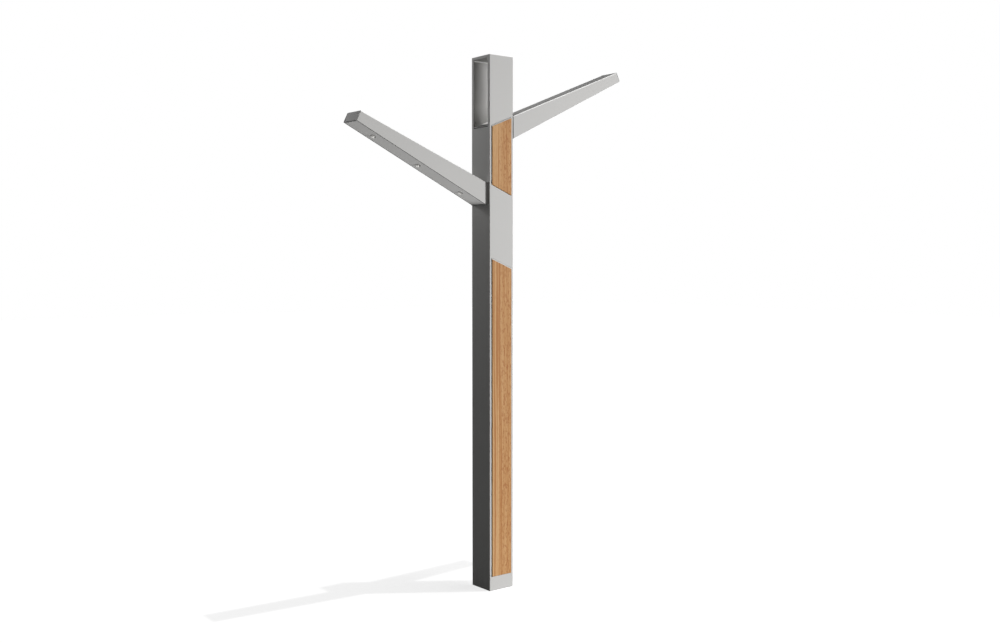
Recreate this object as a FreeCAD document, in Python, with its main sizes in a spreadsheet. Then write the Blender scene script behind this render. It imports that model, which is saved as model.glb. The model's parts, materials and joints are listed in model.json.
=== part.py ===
import FreeCAD, Part
import math
import os
import re
import Sketcher
from FreeCAD import Placement, Rotation, Vector

# A public misting post. Millimetres, +Z up, origin at the middle of the foot.
# The boards are on the front (-Y), the service door on the back (+Y), and the arms rise to -X and +X.

doc = FreeCAD.newDocument("MistingPost")

sizes = [
    # square tube and its head
    ("post_side", 150.0),
    ("post_wall", 5.0),
    ("post_corner", 2.5),
    ("weld_relief", 3.0),
    ("foot_bevel", 1.5),
    ("cap_plate", 5.0),
    ("cap_edge", 1.5),
    ("cap_plug", 9.0),
    ("seat_gap", 0.3),
    ("window_width", 116.0),
    ("sill_sheet", 3.0),
    # tapered arms, left and right alike
    ("arm_rise", 22.0),
    ("arm_reach", 732.0),
    ("arm_root", 113.0),
    ("arm_tip", 50.0),
    ("arm_tip_lean", 25.0),
    ("arm_width", 120.0),
    ("arm_sheet", 3.0),
    ("arm_edge", 4.0),
    ("left_arm_height", 2090.0),
    ("arm_stagger", 338.0),
    ("head_rise", 297.0),
    ("cover_gap", 1.5),
    ("cover_flange", 15.0),
    ("root_plate", 10.0),
    ("doubler_sheet", 6.0),
    ("doubler_width", 78.0),
    ("doubler_margin", 6.0),
    ("bolt_size", 12.0),
    ("bolt_spread", 54.0),
    ("bolt_spacing", 50.0),
    ("bolt_drop", 56.5),
    ("bolt_head", 7.5),
    ("bolt_flats", 19.0),
    ("washer_size", 24.0),
    ("washer_sheet", 2.5),
    ("hole_play", 0.5),
    ("thread_play", 0.1),
    ("cover_screw", 5.0),
    ("cover_screw_height", 9.0),
    ("cover_screw_head", 9.5),
    ("cover_screw_dome", 2.7),
    # nozzles and their pipe
    ("nozzle_number", 3.0),
    ("nozzle_spacing", 283.0),
    ("nozzle_shift", 4.0),
    ("nozzle_hole", 27.0),
    ("nozzle_flats", 17.0),
    ("nozzle_collar", 3.0),
    ("nozzle_body", 15.0),
    ("nozzle_reach", 9.0),
    ("nozzle_taper", 1.5),
    ("nozzle_mouth", 7.0),
    ("nozzle_thread", 10.0),
    ("nozzle_thread_length", 12.0),
    ("seal_sheet", 1.0),
    ("orifice_bore", 0.8),
    ("holder_flange", 36.0),
    ("holder_flange_sheet", 3.0),
    ("holder_boss", 18.0),
    ("holder_barrel", 20.0),
    ("holder_length", 28.0),
    ("line_outer", 12.0),
    ("line_wall", 1.5),
    ("line_height", 30.0),
    ("line_run", 45.0),
    ("line_bend", 60.0),
    ("line_stub", 26.0),
    ("line_play", 0.1),
    ("plug_length", 14.0),
    ("plug_head", 16.0),
    ("union_outer", 18.0),
    ("union_length", 26.0),
    ("union_step", 2.0),
    ("feed_bore", 9.0),
    ("feed_bend", 35.0),
    # boards on the front
    ("board_width", 124.0),
    ("board_thickness", 18.0),
    ("board_proud", 5.5),
    ("board_gap", 2.5),
    ("board_edge", 1.5),
    ("glue_sheet", 2.0),
    ("glue_width", 16.0),
    ("glue_margin", 12.0),
    ("upper_board_drop", 6.0),
    ("upper_board_foot_drop", 8.0),
    ("lower_board_drop", 415.0),
    ("lower_board_foot", 75.0),
    ("pan_sheet", 3.0),
    ("pan_play", 1.0),
    # foot
    ("base_sheet", 15.0),
    ("base_corner", 6.0),
    ("anchor_spacing", 80.0),
    ("anchor_hole", 14.0),
    ("port_hole", 50.0),
    # water train on the post's axis
    ("pipe_outer", 21.3),
    ("pipe_bore", 16.0),
    ("inlet_bore", 21.0),
    ("inlet_outer", 32.0),
    ("inlet_foot", 3.0),
    ("inlet_depth", 17.0),
    ("inlet_web", 3.0),
    ("inlet_grip", 20.0),
    ("socket_depth", 15.0),
    ("socket_outer", 30.0),
    ("valve_rise", 65.0),
    ("valve_half", 35.0),
    ("valve_outer", 42.0),
    ("valve_waist", 24.0),
    ("ball_size", 30.0),
    ("ball_play", 0.05),
    ("stem_size", 10.0),
    ("stem_foot", 12.0),
    ("stem_reach", 38.0),
    ("gland_outer", 20.0),
    ("gland_reach", 28.0),
    ("lever_height", 30.0),
    ("lever_sheet", 4.0),
    ("lever_width", 14.0),
    ("lever_length", 60.0),
    ("grip_length", 36.0),
    ("grip_wall", 2.0),
    ("lever_nut_flats", 16.0),
    ("strainer_gap", 56.0),
    ("strainer_half", 44.0),
    ("strainer_outer", 34.0),
    ("strainer_branch", 44.0),
    ("strainer_branch_outer", 30.0),
    ("strainer_cap_flats", 34.0),
    ("strainer_cap_sheet", 9.0),
    ("branch_bore", 21.0),
    ("screen_outer", 18.0),
    ("screen_wall", 1.0),
    ("screen_foot", 10.0),
    ("solenoid_gap", 20.0),
    ("solenoid_half", 36.0),
    ("solenoid_width", 46.0),
    ("solenoid_depth", 36.0),
    ("solenoid_waist", 24.0),
    ("guide_outer", 14.0),
    ("guide_reach", 54.0),
    ("coil_width", 36.0),
    ("coil_nut_flats", 20.0),
    ("coil_nut_sheet", 5.0),
    ("coil_foot", 20.0),
    ("coil_reach", 48.0),
    ("coil_play", 0.2),
    ("riser_grip", 16.0),
    ("block_drop", 300.0),
    ("block_height", 40.0),
    ("block_width", 44.0),
    ("block_depth", 58.0),
    ("clamp_number", 3.0),
    ("clamp_rise", 150.0),
    ("clamp_drop", 90.0),
    ("clamp_height", 16.0),
    ("clamp_wall", 5.0),
    ("clamp_stud", 8.0),
    # service door in the back
    ("door_foot", 300.0),
    ("door_height", 450.0),
    ("door_width", 96.0),
    ("door_corner", 6.0),
    ("door_gap", 2.0),
    ("frame_sheet", 6.0),
    ("frame_lap", 8.0),
    ("frame_rebate", 3.0),
    ("gasket_width", 6.0),
    ("gasket_play", 0.3),
    ("hinge_lift", 4.4),
    ("hinge_knuckle", 4.0),
    ("hinge_pin", 4.0),
    ("hinge_play", 0.05),
    ("hinge_length", 36.0),
    ("hinge_slit", 0.4),
    ("hinge_leaf", 18.0),
    ("hinge_leaf_sheet", 2.0),
    ("hinge_inset", 70.0),
    ("pin_head", 6.0),
    ("lock_inset", 22.0),
    ("lock_outer", 18.0),
    ("lock_face", 22.0),
    ("lock_face_sheet", 2.5),
    ("lock_depth", 11.5),
    ("lock_plug", 12.0),
    ("lock_key", 7.0),
    ("lock_key_depth", 6.0),
    ("lock_nut", 25.0),
    ("lock_nut_sheet", 4.0),
    ("cam_length", 38.0),
    ("cam_width", 16.0),
    ("cam_sheet", 3.0),
    ("cam_play", 0.2),
    ("cam_tail", 8.0),
    ("cam_screw", 5.0),
    ("cam_screw_head", 9.0),
]

# Sizes that follow from the ones above, each an expression over them.
worked_out = {
    "right_arm_height": "left_arm_height + arm_stagger",
    "post_height": "right_arm_height + head_rise",
    "lower_board_top": "left_arm_height - lower_board_drop",
    "block_foot": "left_arm_height - block_drop",
    "riser_top": "block_foot + riser_grip",
    "inlet_top": "inlet_foot + inlet_depth + inlet_web + inlet_grip",
    "valve_height": "door_foot + valve_rise",
    "strainer_height": "valve_height + valve_half + strainer_gap + strainer_half",
    "solenoid_height": "strainer_height + strainer_half + solenoid_gap + solenoid_half",
    "clamp_foot": "door_foot + door_height + clamp_rise",
    "clamp_spacing": "(block_foot - clamp_drop - clamp_foot) / (clamp_number - 1)",
}

sheet = doc.addObject("Spreadsheet::Sheet", "Sizes")
for row, (alias, value) in enumerate(sizes, start=1):
    sheet.set("A%d" % row, alias)
    sheet.set("B%d" % row, str(value))
    sheet.setAlias("B%d" % row, alias)
doc.recompute()


# ---- small helpers -------------------------------------------------------------------------------

def number(expression):
    """Value of an expression over the sheet's sizes, such as 'post_side / 2'."""
    result = sheet.evalExpression(spelled(expression))
    return float(getattr(result, "Value", result))


def spelled(expression):
    """The expression over the sheet alone: Sizes.name for each size, worked-out sizes written out."""

    def spell(word):
        if word.group() in worked_out:
            return "(%s)" % spelled(worked_out[word.group()])
        return "Sizes." + word.group() if word.group() in names else word.group()

    return re.sub("[a-z][a-z_]*", spell, expression)


names = {alias for alias, value in sizes}


def bind(item, prop, expression):
    item.setExpression(prop, spelled(expression))


def body(label, placement=None):
    item = doc.addObject("PartDesign::Body", label)
    item.Label = label
    if placement is not None:
        item.Placement = placement
    return item


def origin_item(item, role):
    return [part for part in item.Origin.OriginFeatures if part.Role == role][0]


def sketch(item, role, lift=None, shift=None):
    """A sketch on one of the body's own origin planes, lifted off it and shifted along its own X."""
    drawing = item.newObject("Sketcher::SketchObject", item.Label + "_sketch")
    drawing.AttachmentSupport = [(origin_item(item, role), "")]
    drawing.MapMode = "FlatFace"
    if lift is not None:
        bind(drawing, "AttachmentOffset.Base.z", lift)
    if shift is not None:
        bind(drawing, "AttachmentOffset.Base.x", shift)
    return drawing


def hold(drawing, geometry, point, where):
    """Ties one point of the sketch's geometry to an X and a Y written in sizes."""
    for kind, expression in zip(("DistanceX", "DistanceY"), where):
        index = drawing.addConstraint(
            Sketcher.Constraint(kind, -1, 1, geometry, point, number(expression)))
        bind(drawing, "Constraints[%d]" % index, expression)


def polygon(drawing, corners):
    spots = [Vector(number(across), number(up), 0) for across, up in corners]
    first = drawing.GeometryCount
    count = len(corners)
    for index in range(count):
        drawing.addGeometry(Part.LineSegment(spots[index], spots[(index + 1) % count]))
    for index in range(count):
        following = first + (index + 1) % count
        drawing.addConstraint(Sketcher.Constraint("Coincident", first + index, 2, following, 1))
    for index in range(count):
        hold(drawing, first + index, 1, corners[index])


def rectangle(drawing, left, foot, right, top):
    polygon(drawing, [(left, foot), (right, foot), (right, top), (left, top)])


def circle(drawing, across, up, diameter):
    spot = Vector(number(across), number(up), 0)
    geometry = drawing.addGeometry(Part.Circle(spot, Vector(0, 0, 1), number(diameter) / 2))
    hold(drawing, geometry, 3, (across, up))
    index = drawing.addConstraint(Sketcher.Constraint("Diameter", geometry, number(diameter)))
    bind(drawing, "Constraints[%d]" % index, diameter)


def bent_line(drawing, start, corner, end, radius):
    """Two straight runs that meet at a corner, rounded by an arc tangent to both."""
    begin, turn, finish = [Vector(number(across), number(up), 0) for across, up in (start, corner, end)]
    inward = (turn - begin).normalize()
    outward = (finish - turn).normalize()
    angle = math.acos(max(-1.0, min(1.0, inward.dot(outward))))
    bend = number(radius)
    leg = bend * math.tan(angle / 2)
    arc_start = turn - inward * leg
    arc_end = turn + outward * leg
    side = 1.0 if inward.x * outward.y - inward.y * outward.x > 0 else -1.0
    centre = arc_start + Vector(-inward.y, inward.x, 0) * side * bend
    low = math.atan2(arc_start.y - centre.y, arc_start.x - centre.x)
    high = math.atan2(arc_end.y - centre.y, arc_end.x - centre.x)
    if side < 0:
        low, high = high, low
    near, far = (1, 2) if side > 0 else (2, 1)
    first = drawing.addGeometry(Part.LineSegment(begin, arc_start))
    arc = drawing.addGeometry(Part.ArcOfCircle(Part.Circle(centre, Vector(0, 0, 1), bend), low, high))
    last = drawing.addGeometry(Part.LineSegment(arc_end, finish))
    apex = drawing.addGeometry(Part.Point(turn), True)
    drawing.addConstraint(Sketcher.Constraint("Tangent", first, 2, arc, near))
    drawing.addConstraint(Sketcher.Constraint("Tangent", arc, far, last, 1))
    drawing.addConstraint(Sketcher.Constraint("PointOnObject", apex, 1, first))
    drawing.addConstraint(Sketcher.Constraint("PointOnObject", apex, 1, last))
    hold(drawing, first, 1, start)
    hold(drawing, apex, 1, corner)
    hold(drawing, last, 2, end)
    index = drawing.addConstraint(Sketcher.Constraint("Radius", arc, bend))
    bind(drawing, "Constraints[%d]" % index, radius)


def extrude(kind, item, drawing, length, symmetric, reversed_):
    feature = item.newObject("PartDesign::" + kind, item.Label + "_" + kind.lower())
    feature.Profile = drawing
    if symmetric:
        feature.SideType = "Symmetric"
    feature.Reversed = reversed_
    bind(feature, "Length", length)
    return feature


def pad(item, drawing, length, symmetric=False, reversed_=False):
    feature = extrude("Pad", item, drawing, length, symmetric, reversed_)
    doc.recompute()
    return feature


def pocket(item, drawing, length, symmetric=False, reversed_=False):
    before = item.Shape.Volume
    feature = extrude("Pocket", item, drawing, length, symmetric, reversed_)
    doc.recompute()
    if not item.Shape.Volume < before - 1e-3:
        raise RuntimeError(item.Label + ": a pocket cuts nothing")
    return feature


def revolve(item, drawing, cut=False):
    kind = "Groove" if cut else "Revolution"
    before = item.Shape.Volume if cut else 0
    feature = item.newObject("PartDesign::" + kind, item.Label + "_turned")
    feature.Profile = drawing
    feature.ReferenceAxis = (drawing, ["V_Axis"])
    feature.Angle = 360
    doc.recompute()
    if cut and not item.Shape.Volume < before - 1e-3:
        raise RuntimeError(item.Label + ": a groove cuts nothing")
    return feature


def edges_of(shape, wanted):
    return ["Edge%d" % index for index, edge in enumerate(shape.Edges, start=1) if wanted(edge)]


def dress(kind, item, base, wanted, prop, size):
    """A fillet or chamfer on the edges of base that the test picks out."""
    feature = item.newObject("PartDesign::" + kind, item.Label + "_" + kind.lower())
    feature.Base = (base, edges_of(base.Shape, wanted))
    bind(feature, prop, size)
    doc.recompute()
    return feature


def repeat(item, features, role, length, occurrences):
    feature = item.newObject("PartDesign::LinearPattern", item.Label + "_row")
    feature.Originals = features
    feature.Direction = (origin_item(item, role), [""])
    bind(feature, "Length", length)
    bind(feature, "Occurrences", occurrences)
    item.Tip = feature
    doc.recompute()
    return feature


def runs_along(edge, axis):
    """True for a straight edge along the axis."""
    if edge.Curve.TypeId != "Part::GeomLine":
        return False
    return abs(edge.tangentAt(edge.FirstParameter).dot(axis)) > 0.999


def round_bar(label, axis, diameter, low, high, across="0", up="0", bore=None, placement=None):
    """A round bar or tube along one axis of its body, between two heights on that axis."""
    item = body(label, placement)
    feature = round_feature(item, axis, diameter, low, high, across, up)
    if bore is not None:
        round_feature(item, axis, bore, low, high, across, up, cut=True)
    return item, feature


def round_feature(item, axis, diameter, low, high, across="0", up="0", cut=False):
    """A cylinder on the body, added or cut, along X, Y or Z; on Y, the sketch looks back along it."""
    role = {"X": "YZ_Plane", "Y": "XZ_Plane", "Z": "XY_Plane"}[axis]
    flip = axis == "Y"
    lift = "-(%s)" % low if flip else low
    drawing = sketch(item, role, lift=lift)
    circle(drawing, across, up, diameter)
    length = "(%s) - (%s)" % (high, low)
    if cut:
        return pocket(item, drawing, length, reversed_=not flip)
    return pad(item, drawing, length, reversed_=flip)


def block_feature(item, axis, left, foot, right, top, low, high, cut=False):
    """A block on the body, added or cut, as round_feature."""
    role = {"X": "YZ_Plane", "Y": "XZ_Plane", "Z": "XY_Plane"}[axis]
    flip = axis == "Y"
    lift = "-(%s)" % low if flip else low
    drawing = sketch(item, role, lift=lift)
    rectangle(drawing, left, foot, right, top)
    length = "(%s) - (%s)" % (high, low)
    if cut:
        return pocket(item, drawing, length, reversed_=not flip)
    return pad(item, drawing, length, reversed_=flip)


def hex_feature(item, axis, flats, low, high, across="0", up="0"):
    """A hexagon on the body, by its width across flats, as round_feature."""
    role = {"X": "YZ_Plane", "Y": "XZ_Plane", "Z": "XY_Plane"}[axis]
    flip = axis == "Y"
    lift = "-(%s)" % low if flip else low
    drawing = sketch(item, role, lift=lift)
    corners = []
    for corner in range(6):
        turn = "%d * 1deg" % (60 * corner + 30)
        reach = "(%s) / 2 / cos(30deg)" % flats
        corners.append(("(%s) + %s * cos(%s)" % (across, reach, turn),
                        "(%s) + %s * sin(%s)" % (up, reach, turn)))
    polygon(drawing, corners)
    length = "(%s) - (%s)" % (high, low)
    return pad(item, drawing, length, reversed_=flip)


# ---- lines that several pieces share -------------------------------------------------------------

rise = "tan(arm_rise * 1deg)"
tip_x = "(arm_reach + arm_tip * sin(arm_tip_lean * 1deg))"
tip_z = "(arm_reach * %s - arm_tip * cos(arm_tip_lean * 1deg))" % rise
slope = "((%s + arm_root) / %s)" % (tip_z, tip_x)
slant = "sqrt(1 + %s * %s)" % (slope, slope)
underside = "(%s * %s)" % (tip_x, slant)
half = "post_side / 2"
inside = "(post_side / 2 - post_wall)"
free = "(post_side / 2 - post_wall - seat_gap)"
first_nozzle = "((%s - nozzle_spacing * (nozzle_number - 1)) / 2 - nozzle_shift)" % underside
line_drop = "(arm_root - line_height * %s - line_run * %s)" % (slant, slope)
tube_top = "(post_height - cap_plate)"

# The sill carries on the top of the right arm through the post, and the boards' ends follow the arms:
# these are the heights at which the tops of the two arms, carried on, cross the post's axis.
sill_mid = "(right_arm_height - %s * %s)" % (half, rise)
left_line_mid = "(left_arm_height - %s * %s)" % (half, rise)
pan_web = "(post_side / 2 + board_proud - board_thickness - glue_sheet)"


def sloped(middle, across, rising=1):
    """Height of a line that crosses the post's axis at 'middle' and climbs as the arms do."""
    sign = "+" if rising > 0 else "-"
    return "(%s) %s (%s) * %s" % (middle, sign, across, rise)


def arm_place(side):
    """Frame of an arm: X out along it, Z up, at the top of its root on the post's face."""
    offset = side * -(number("post_side") - number("arm_width")) / 2
    height = number("right_arm_height" if side > 0 else "left_arm_height")
    turn = 0 if side > 0 else 180
    spot = Vector(side * number(half), offset, height)
    return Placement(spot, Rotation(Vector(0, 0, 1), turn))


def under_place(side):
    """Frame of an arm's underside: X out along it, Z into the arm, at the bottom of its root."""
    tilt = math.degrees(math.atan(number(slope)))
    local = Placement(Vector(0, 0, -number("arm_root")), Rotation(Vector(0, 1, 0), -tilt))
    return arm_place(side).multiply(local)


# ---- post ----------------------------------------------------------------------------------------

def make_post_tube():
    """Sharp-edged square tube with its window, board openings, door opening and arm holes."""
    tube = body("post_tube")
    drawing = sketch(tube, "XY_Plane")
    rectangle(drawing, "-" + half, "-" + half, half, half)
    base = pad(tube, drawing, tube_top)
    base = dress("Fillet", tube, base, lambda edge: runs_along(edge, Vector(0, 0, 1)), "Radius",
                 "post_corner")
    dress("Chamfer", tube, base, lambda edge: edge.BoundBox.ZMax < 0.1, "Size", "foot_bevel")
    inner = sketch(tube, "XY_Plane")
    rectangle(inner, "-" + inside, "-" + inside, inside, inside)
    pocket(tube, inner, tube_top, reversed_=True)
    window = sketch(tube, "XZ_Plane")
    ledge = "%s - sill_sheet * sqrt(1 + %s ^ 2)" % (sill_mid, rise)
    window_top = tube_top + " - cap_plug"
    polygon(window, [("-post_side", sloped(ledge, "-post_side")), ("post_side", sloped(ledge, "post_side")),
                     ("post_side", window_top), ("-post_side", window_top)])
    pocket(tube, window, "window_width", symmetric=True)
    for outline in (upper_board_outline("board_gap"), lower_board_outline("board_gap")):
        front = sketch(tube, "XZ_Plane", lift=inside + " - post_wall")
        polygon(front, outline)
        pocket(tube, front, "post_wall * 3", reversed_=True)
    block_feature(tube, "Y", "-door_width / 2", "door_foot", "door_width / 2",
                  "door_foot + door_height", inside + " - post_wall", half + " + post_wall", cut=True)
    for side in (-1, 1):
        arm_holes(tube, side)
    return tube


def arm_holes(tube, side):
    """Bolt holes and the pipe hole where an arm meets the post's wall."""
    height = "right_arm_height" if side > 0 else "left_arm_height"
    middle = "%d * (post_side - arm_width) / 2" % -side
    low = inside + " - post_wall" if side > 0 else "-(%s) - post_wall" % half
    high = half + " + post_wall" if side > 0 else "-(%s) + post_wall" % inside
    spots = [(spread, lift, "bolt_size + 2 * hole_play") for spread in (-1, 1) for lift in (-1, 1)]
    for spread, lift, diameter in spots:
        round_feature(tube, "X", diameter, low, high, middle + " + %d * bolt_spread / 2" % spread,
                      height + " - bolt_drop + %d * bolt_spacing / 2" % lift, cut=True)
    round_feature(tube, "X", "line_outer + 2 * hole_play", low, high, middle,
                  height + " - " + line_drop, cut=True)


def make_top_cap():
    """Lid with a plug that fills the tube down to the top of the window."""
    cap = body("top_cap")
    plate = sketch(cap, "XY_Plane", lift=tube_top)
    rectangle(plate, "-" + half, "-" + half, half, half)
    base = pad(cap, plate, "cap_plate")
    rounded = dress("Fillet", cap, base, lambda edge: runs_along(edge, Vector(0, 0, 1)), "Radius",
                    "post_corner")
    top = number("post_height")
    dress("Fillet", cap, rounded, lambda edge: edge.BoundBox.ZMin > top - 0.01, "Radius", "cap_edge")
    plug = sketch(cap, "XY_Plane", lift=tube_top + " - cap_plug")
    polygon(plug, octagon(free, free + " - weld_relief"))
    pad(cap, plug, "cap_plug")
    return cap


def octagon(reach, flat):
    """Corners of a square of half-width 'reach' whose corners are cut back to 'flat'."""
    spots = [(flat, reach), (reach, flat), (reach, "-(%s)" % flat), (flat, "-(%s)" % reach)]
    mirrored = [("-(%s)" % across, up) for across, up in reversed(spots)]
    return spots + mirrored


def make_sill():
    """Sloped floor of the window, in line with the top of the right arm."""
    sill = body("window_sill")
    side_view = sketch(sill, "XZ_Plane")
    polygon(side_view, [("-" + free, sloped(sill_mid, "-" + free)),
                        (free, sloped(sill_mid, free)),
                        (free, sloped(sill_mid, free) + " - sill_sheet * sqrt(1 + %s ^ 2)" % rise),
                        ("-" + free,
                         sloped(sill_mid, "-" + free) + " - sill_sheet * sqrt(1 + %s ^ 2)" % rise)])
    base = pad(sill, side_view, "2 * " + free, symmetric=True)
    limit = number(free) - 0.01
    dress("Fillet", sill, base,
          lambda edge: runs_along(edge, Vector(0, 0, 1)) and abs(edge.CenterOfMass.y) > limit,
          "Radius", "weld_relief")
    return sill


def upper_board_outline(grow):
    """Outline of the upper board in X and Z; both ends climb as the arms do."""
    right = "board_width / 2 + " + grow
    stretch = grow + " * sqrt(1 + %s ^ 2)" % rise
    top = "%s - upper_board_drop + %s" % (sill_mid, stretch)
    foot = "%s - upper_board_foot_drop - %s" % (left_line_mid, stretch)
    return [("-(%s)" % right, sloped(foot, "-(%s)" % right, -1)),
            (right, sloped(foot, right, -1)),
            (right, sloped(top, right)),
            ("-(%s)" % right, sloped(top, "-(%s)" % right))]


def lower_board_outline(grow):
    """Outline of the lower board in X and Z; its top falls as the left arm's top does."""
    right = "board_width / 2 + " + grow
    top = "lower_board_top + %s * sqrt(1 + %s ^ 2)" % (grow, rise)
    return [("-(%s)" % right, "lower_board_foot - " + grow),
            (right, "lower_board_foot - " + grow),
            (right, sloped(top, right, -1)),
            ("-(%s)" % right, sloped(top, "-(%s)" % right, -1))]


def make_board(label, outline):
    """Hardwood board, proud of the post's face, with its front edges broken."""
    board = body(label)
    front = sketch(board, "XZ_Plane", lift=half + " + board_proud")
    polygon(front, outline)
    base = pad(board, front, "board_thickness", reversed_=True)
    face = -number(half + " + board_proud") + 0.01
    dress("Chamfer", board, base, lambda edge: edge.BoundBox.YMax < face, "Size", "board_edge")
    return board


def make_pan(label, outer, inner):
    """Folded pan behind a board, against the inside of the front wall."""
    pan = body(label)
    back = sketch(pan, "XZ_Plane", lift=inside)
    polygon(back, outer)
    pad(pan, back, "%s - %s + pan_sheet" % (inside, pan_web), reversed_=True)
    tray = sketch(pan, "XZ_Plane", lift=inside)
    polygon(tray, inner)
    pocket(pan, tray, "%s - %s" % (inside, pan_web))
    return pan


def make_upper_pan():
    """The upper pan has no rim at its top, where the sill closes it."""
    outer = upper_board_outline("board_gap + pan_play + pan_sheet")
    inner = upper_board_outline("board_gap + pan_play")
    right = "(board_width / 2 + board_gap + pan_play + pan_sheet)"
    under = "%s - sill_sheet * sqrt(1 + %s ^ 2) - seat_gap" % (sill_mid, rise)
    outer[2:] = [(right, sloped(under, right)), ("-" + right, sloped(under, "-" + right))]
    return make_pan("upper_pan", outer, inner)


def make_lower_pan():
    outer = lower_board_outline("board_gap + pan_play + pan_sheet")
    inner = lower_board_outline("board_gap + pan_play")
    return make_pan("lower_pan", outer, inner)


def make_adhesive():
    """Two strips of adhesive behind each board."""
    strips = body("board_adhesive")
    outer = "(board_width / 2 - glue_margin)"
    upper_foot = "%s - upper_board_foot_drop + %s * %s + glue_margin" % (left_line_mid, outer, rise)
    upper_top = "%s - upper_board_drop - %s * %s - glue_margin" % (sill_mid, outer, rise)
    lower_foot = "lower_board_foot + glue_margin"
    lower_top = "lower_board_top - %s * %s - glue_margin" % (outer, rise)
    for foot, top in ((lower_foot, lower_top), (upper_foot, upper_top)):
        for left, right in (("-" + outer, "-%s + glue_width" % outer),
                            (outer + " - glue_width", outer)):
            block_feature(strips, "Y", left, foot, right, top,
                          "-(%s + glue_sheet)" % pan_web, "-" + pan_web)
    return strips


def make_base_plate():
    """Foot plate inside the tube, with the anchor holes and the port for the water pipe."""
    plate = body("base_plate")
    drawing = sketch(plate, "XY_Plane")
    polygon(drawing, octagon(free, free + " - base_corner"))
    circle(drawing, "0", "0", "port_hole")
    for across in ("-anchor_spacing / 2", "anchor_spacing / 2"):
        for up in ("-anchor_spacing / 2", "anchor_spacing / 2"):
            circle(drawing, across, up, "anchor_hole")
    pad(plate, drawing, "base_sheet")
    return plate


# ---- arms ----------------------------------------------------------------------------------------

def side_name(side):
    return "right" if side > 0 else "left"


def outward(side, low, high):
    """A span along the arm's own Y that ends up towards +Y of the post."""
    return (low, high) if side > 0 else ("-(%s)" % high, "-(%s)" % low)


def make_arm_shell(side):
    """Tapered arm of sheet, folded at its top edges, with a tip welded in; open below and at the root."""
    shell = body(side_name(side) + "_arm_shell", arm_place(side))
    outline = sketch(shell, "XZ_Plane")
    polygon(outline, [("0", "0"), ("arm_reach", "arm_reach * " + rise), (tip_x, tip_z), ("0", "-arm_root")])
    base = pad(shell, outline, "arm_width", symmetric=True)
    rim = number("arm_width / 2") - 0.01
    start = number("arm_reach / 2")
    climb = number("arm_reach * %s / 2" % rise)

    def folded(edge):
        middle = edge.CenterOfMass
        return abs(middle.y) > rim and abs(middle.x - start) < 1 and middle.z > climb - 1

    dress("Fillet", shell, base, folded, "Radius", "arm_edge")
    cosine = "cos(arm_tip_lean * 1deg)"
    sine = "sin(arm_tip_lean * 1deg)"
    secant = "sqrt(1 + %s ^ 2)" % rise
    along = "(arm_sheet * (%s * %s + %s - %s) / (%s + %s * %s))" % (
        cosine, rise, secant, sine, cosine, sine, rise)
    corner_x = "arm_reach - arm_sheet * %s + %s * %s" % (cosine, along, sine)
    corner_z = "arm_reach * %s - arm_sheet * %s - %s * %s" % (rise, sine, along, cosine)
    hollow = sketch(shell, "XZ_Plane")
    polygon(hollow, [
        ("-arm_sheet", "-arm_sheet * %s - arm_sheet * %s" % (rise, secant)),
        (corner_x, corner_z),
        ("%s + 2 * arm_tip * %s" % (corner_x, sine), "%s - 2 * arm_tip * %s" % (corner_z, cosine)),
        ("-arm_sheet", "-2 * arm_root")])
    pocket(shell, hollow, "arm_width - 2 * arm_sheet", symmetric=True)
    screws = sketch(shell, "XZ_Plane")
    for index in range(int(number("nozzle_number"))):
        along = "(%s + %d * nozzle_spacing)" % (first_nozzle, index)
        circle(screws, "(%s - cover_screw_height * %s) / %s" % (along, slope, slant),
               "-arm_root + (%s * %s + cover_screw_height) / %s" % (along, slope, slant),
               "cover_screw + 2 * hole_play")
    pocket(shell, screws, "arm_width", reversed_=side < 0)
    return shell


def make_arm_cover(side):
    """Channel that closes the arm from below, with the nozzle holes."""
    cover = body(side_name(side) + "_arm_cover", under_place(side))
    outer = "(arm_width / 2 - arm_sheet - cover_gap)"
    inner = "(arm_width / 2 - 2 * arm_sheet - cover_gap)"
    section = sketch(cover, "YZ_Plane")
    polygon(section, [("-" + outer, "0"), (outer, "0"), (outer, "cover_flange"),
                      (inner, "cover_flange"), (inner, "arm_sheet"), ("-" + inner, "arm_sheet"),
                      ("-" + inner, "cover_flange"), ("-" + outer, "cover_flange")])
    pad(cover, section, "%s - arm_sheet - cover_gap" % underside)
    end = sketch(cover, "XZ_Plane")
    polygon(end, [("-arm_width", "-cover_flange"),
                  ("cover_gap * %s - cover_flange * %s" % (slant, slope), "-cover_flange"),
                  ("cover_gap * %s + 2 * cover_flange * %s" % (slant, slope), "2 * cover_flange"),
                  ("-arm_width", "2 * cover_flange")])
    pocket(cover, end, "arm_width", symmetric=True)
    hole = round_feature(cover, "Z", "nozzle_hole", "-arm_sheet", "2 * arm_sheet", first_nozzle, "0",
                         cut=True)
    low, high = outward(side, "0", "arm_width / 2")
    screw = round_feature(cover, "Y", "cover_screw + 2 * thread_play", low, high, first_nozzle,
                          "cover_screw_height", cut=True)
    repeat(cover, [hole, screw], "X_Axis", "nozzle_spacing * (nozzle_number - 1)", "nozzle_number")
    return cover


def make_cover_screws(side):
    """Domed screws through the back of the arm into the cover's flange."""
    screws = body(side_name(side) + "_cover_screws", under_place(side))
    inner = "arm_width / 2 - 2 * arm_sheet - cover_gap"
    low, high = outward(side, inner, "arm_width / 2")
    shank = round_feature(screws, "Y", "cover_screw", low, high, first_nozzle, "cover_screw_height")
    low, high = outward(side, "arm_width / 2", "arm_width / 2 + cover_screw_dome")
    head = round_feature(screws, "Y", "cover_screw_head", low, high, first_nozzle,
                         "cover_screw_height")
    crown = number(high if side > 0 else low)
    dome = dress("Fillet", screws, head,
                 lambda edge: abs(edge.CenterOfMass.y - crown) < 0.01, "Radius",
                 "0.8 * cover_screw_dome")
    screws.Tip = dome
    repeat_whole(screws)
    return screws


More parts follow.
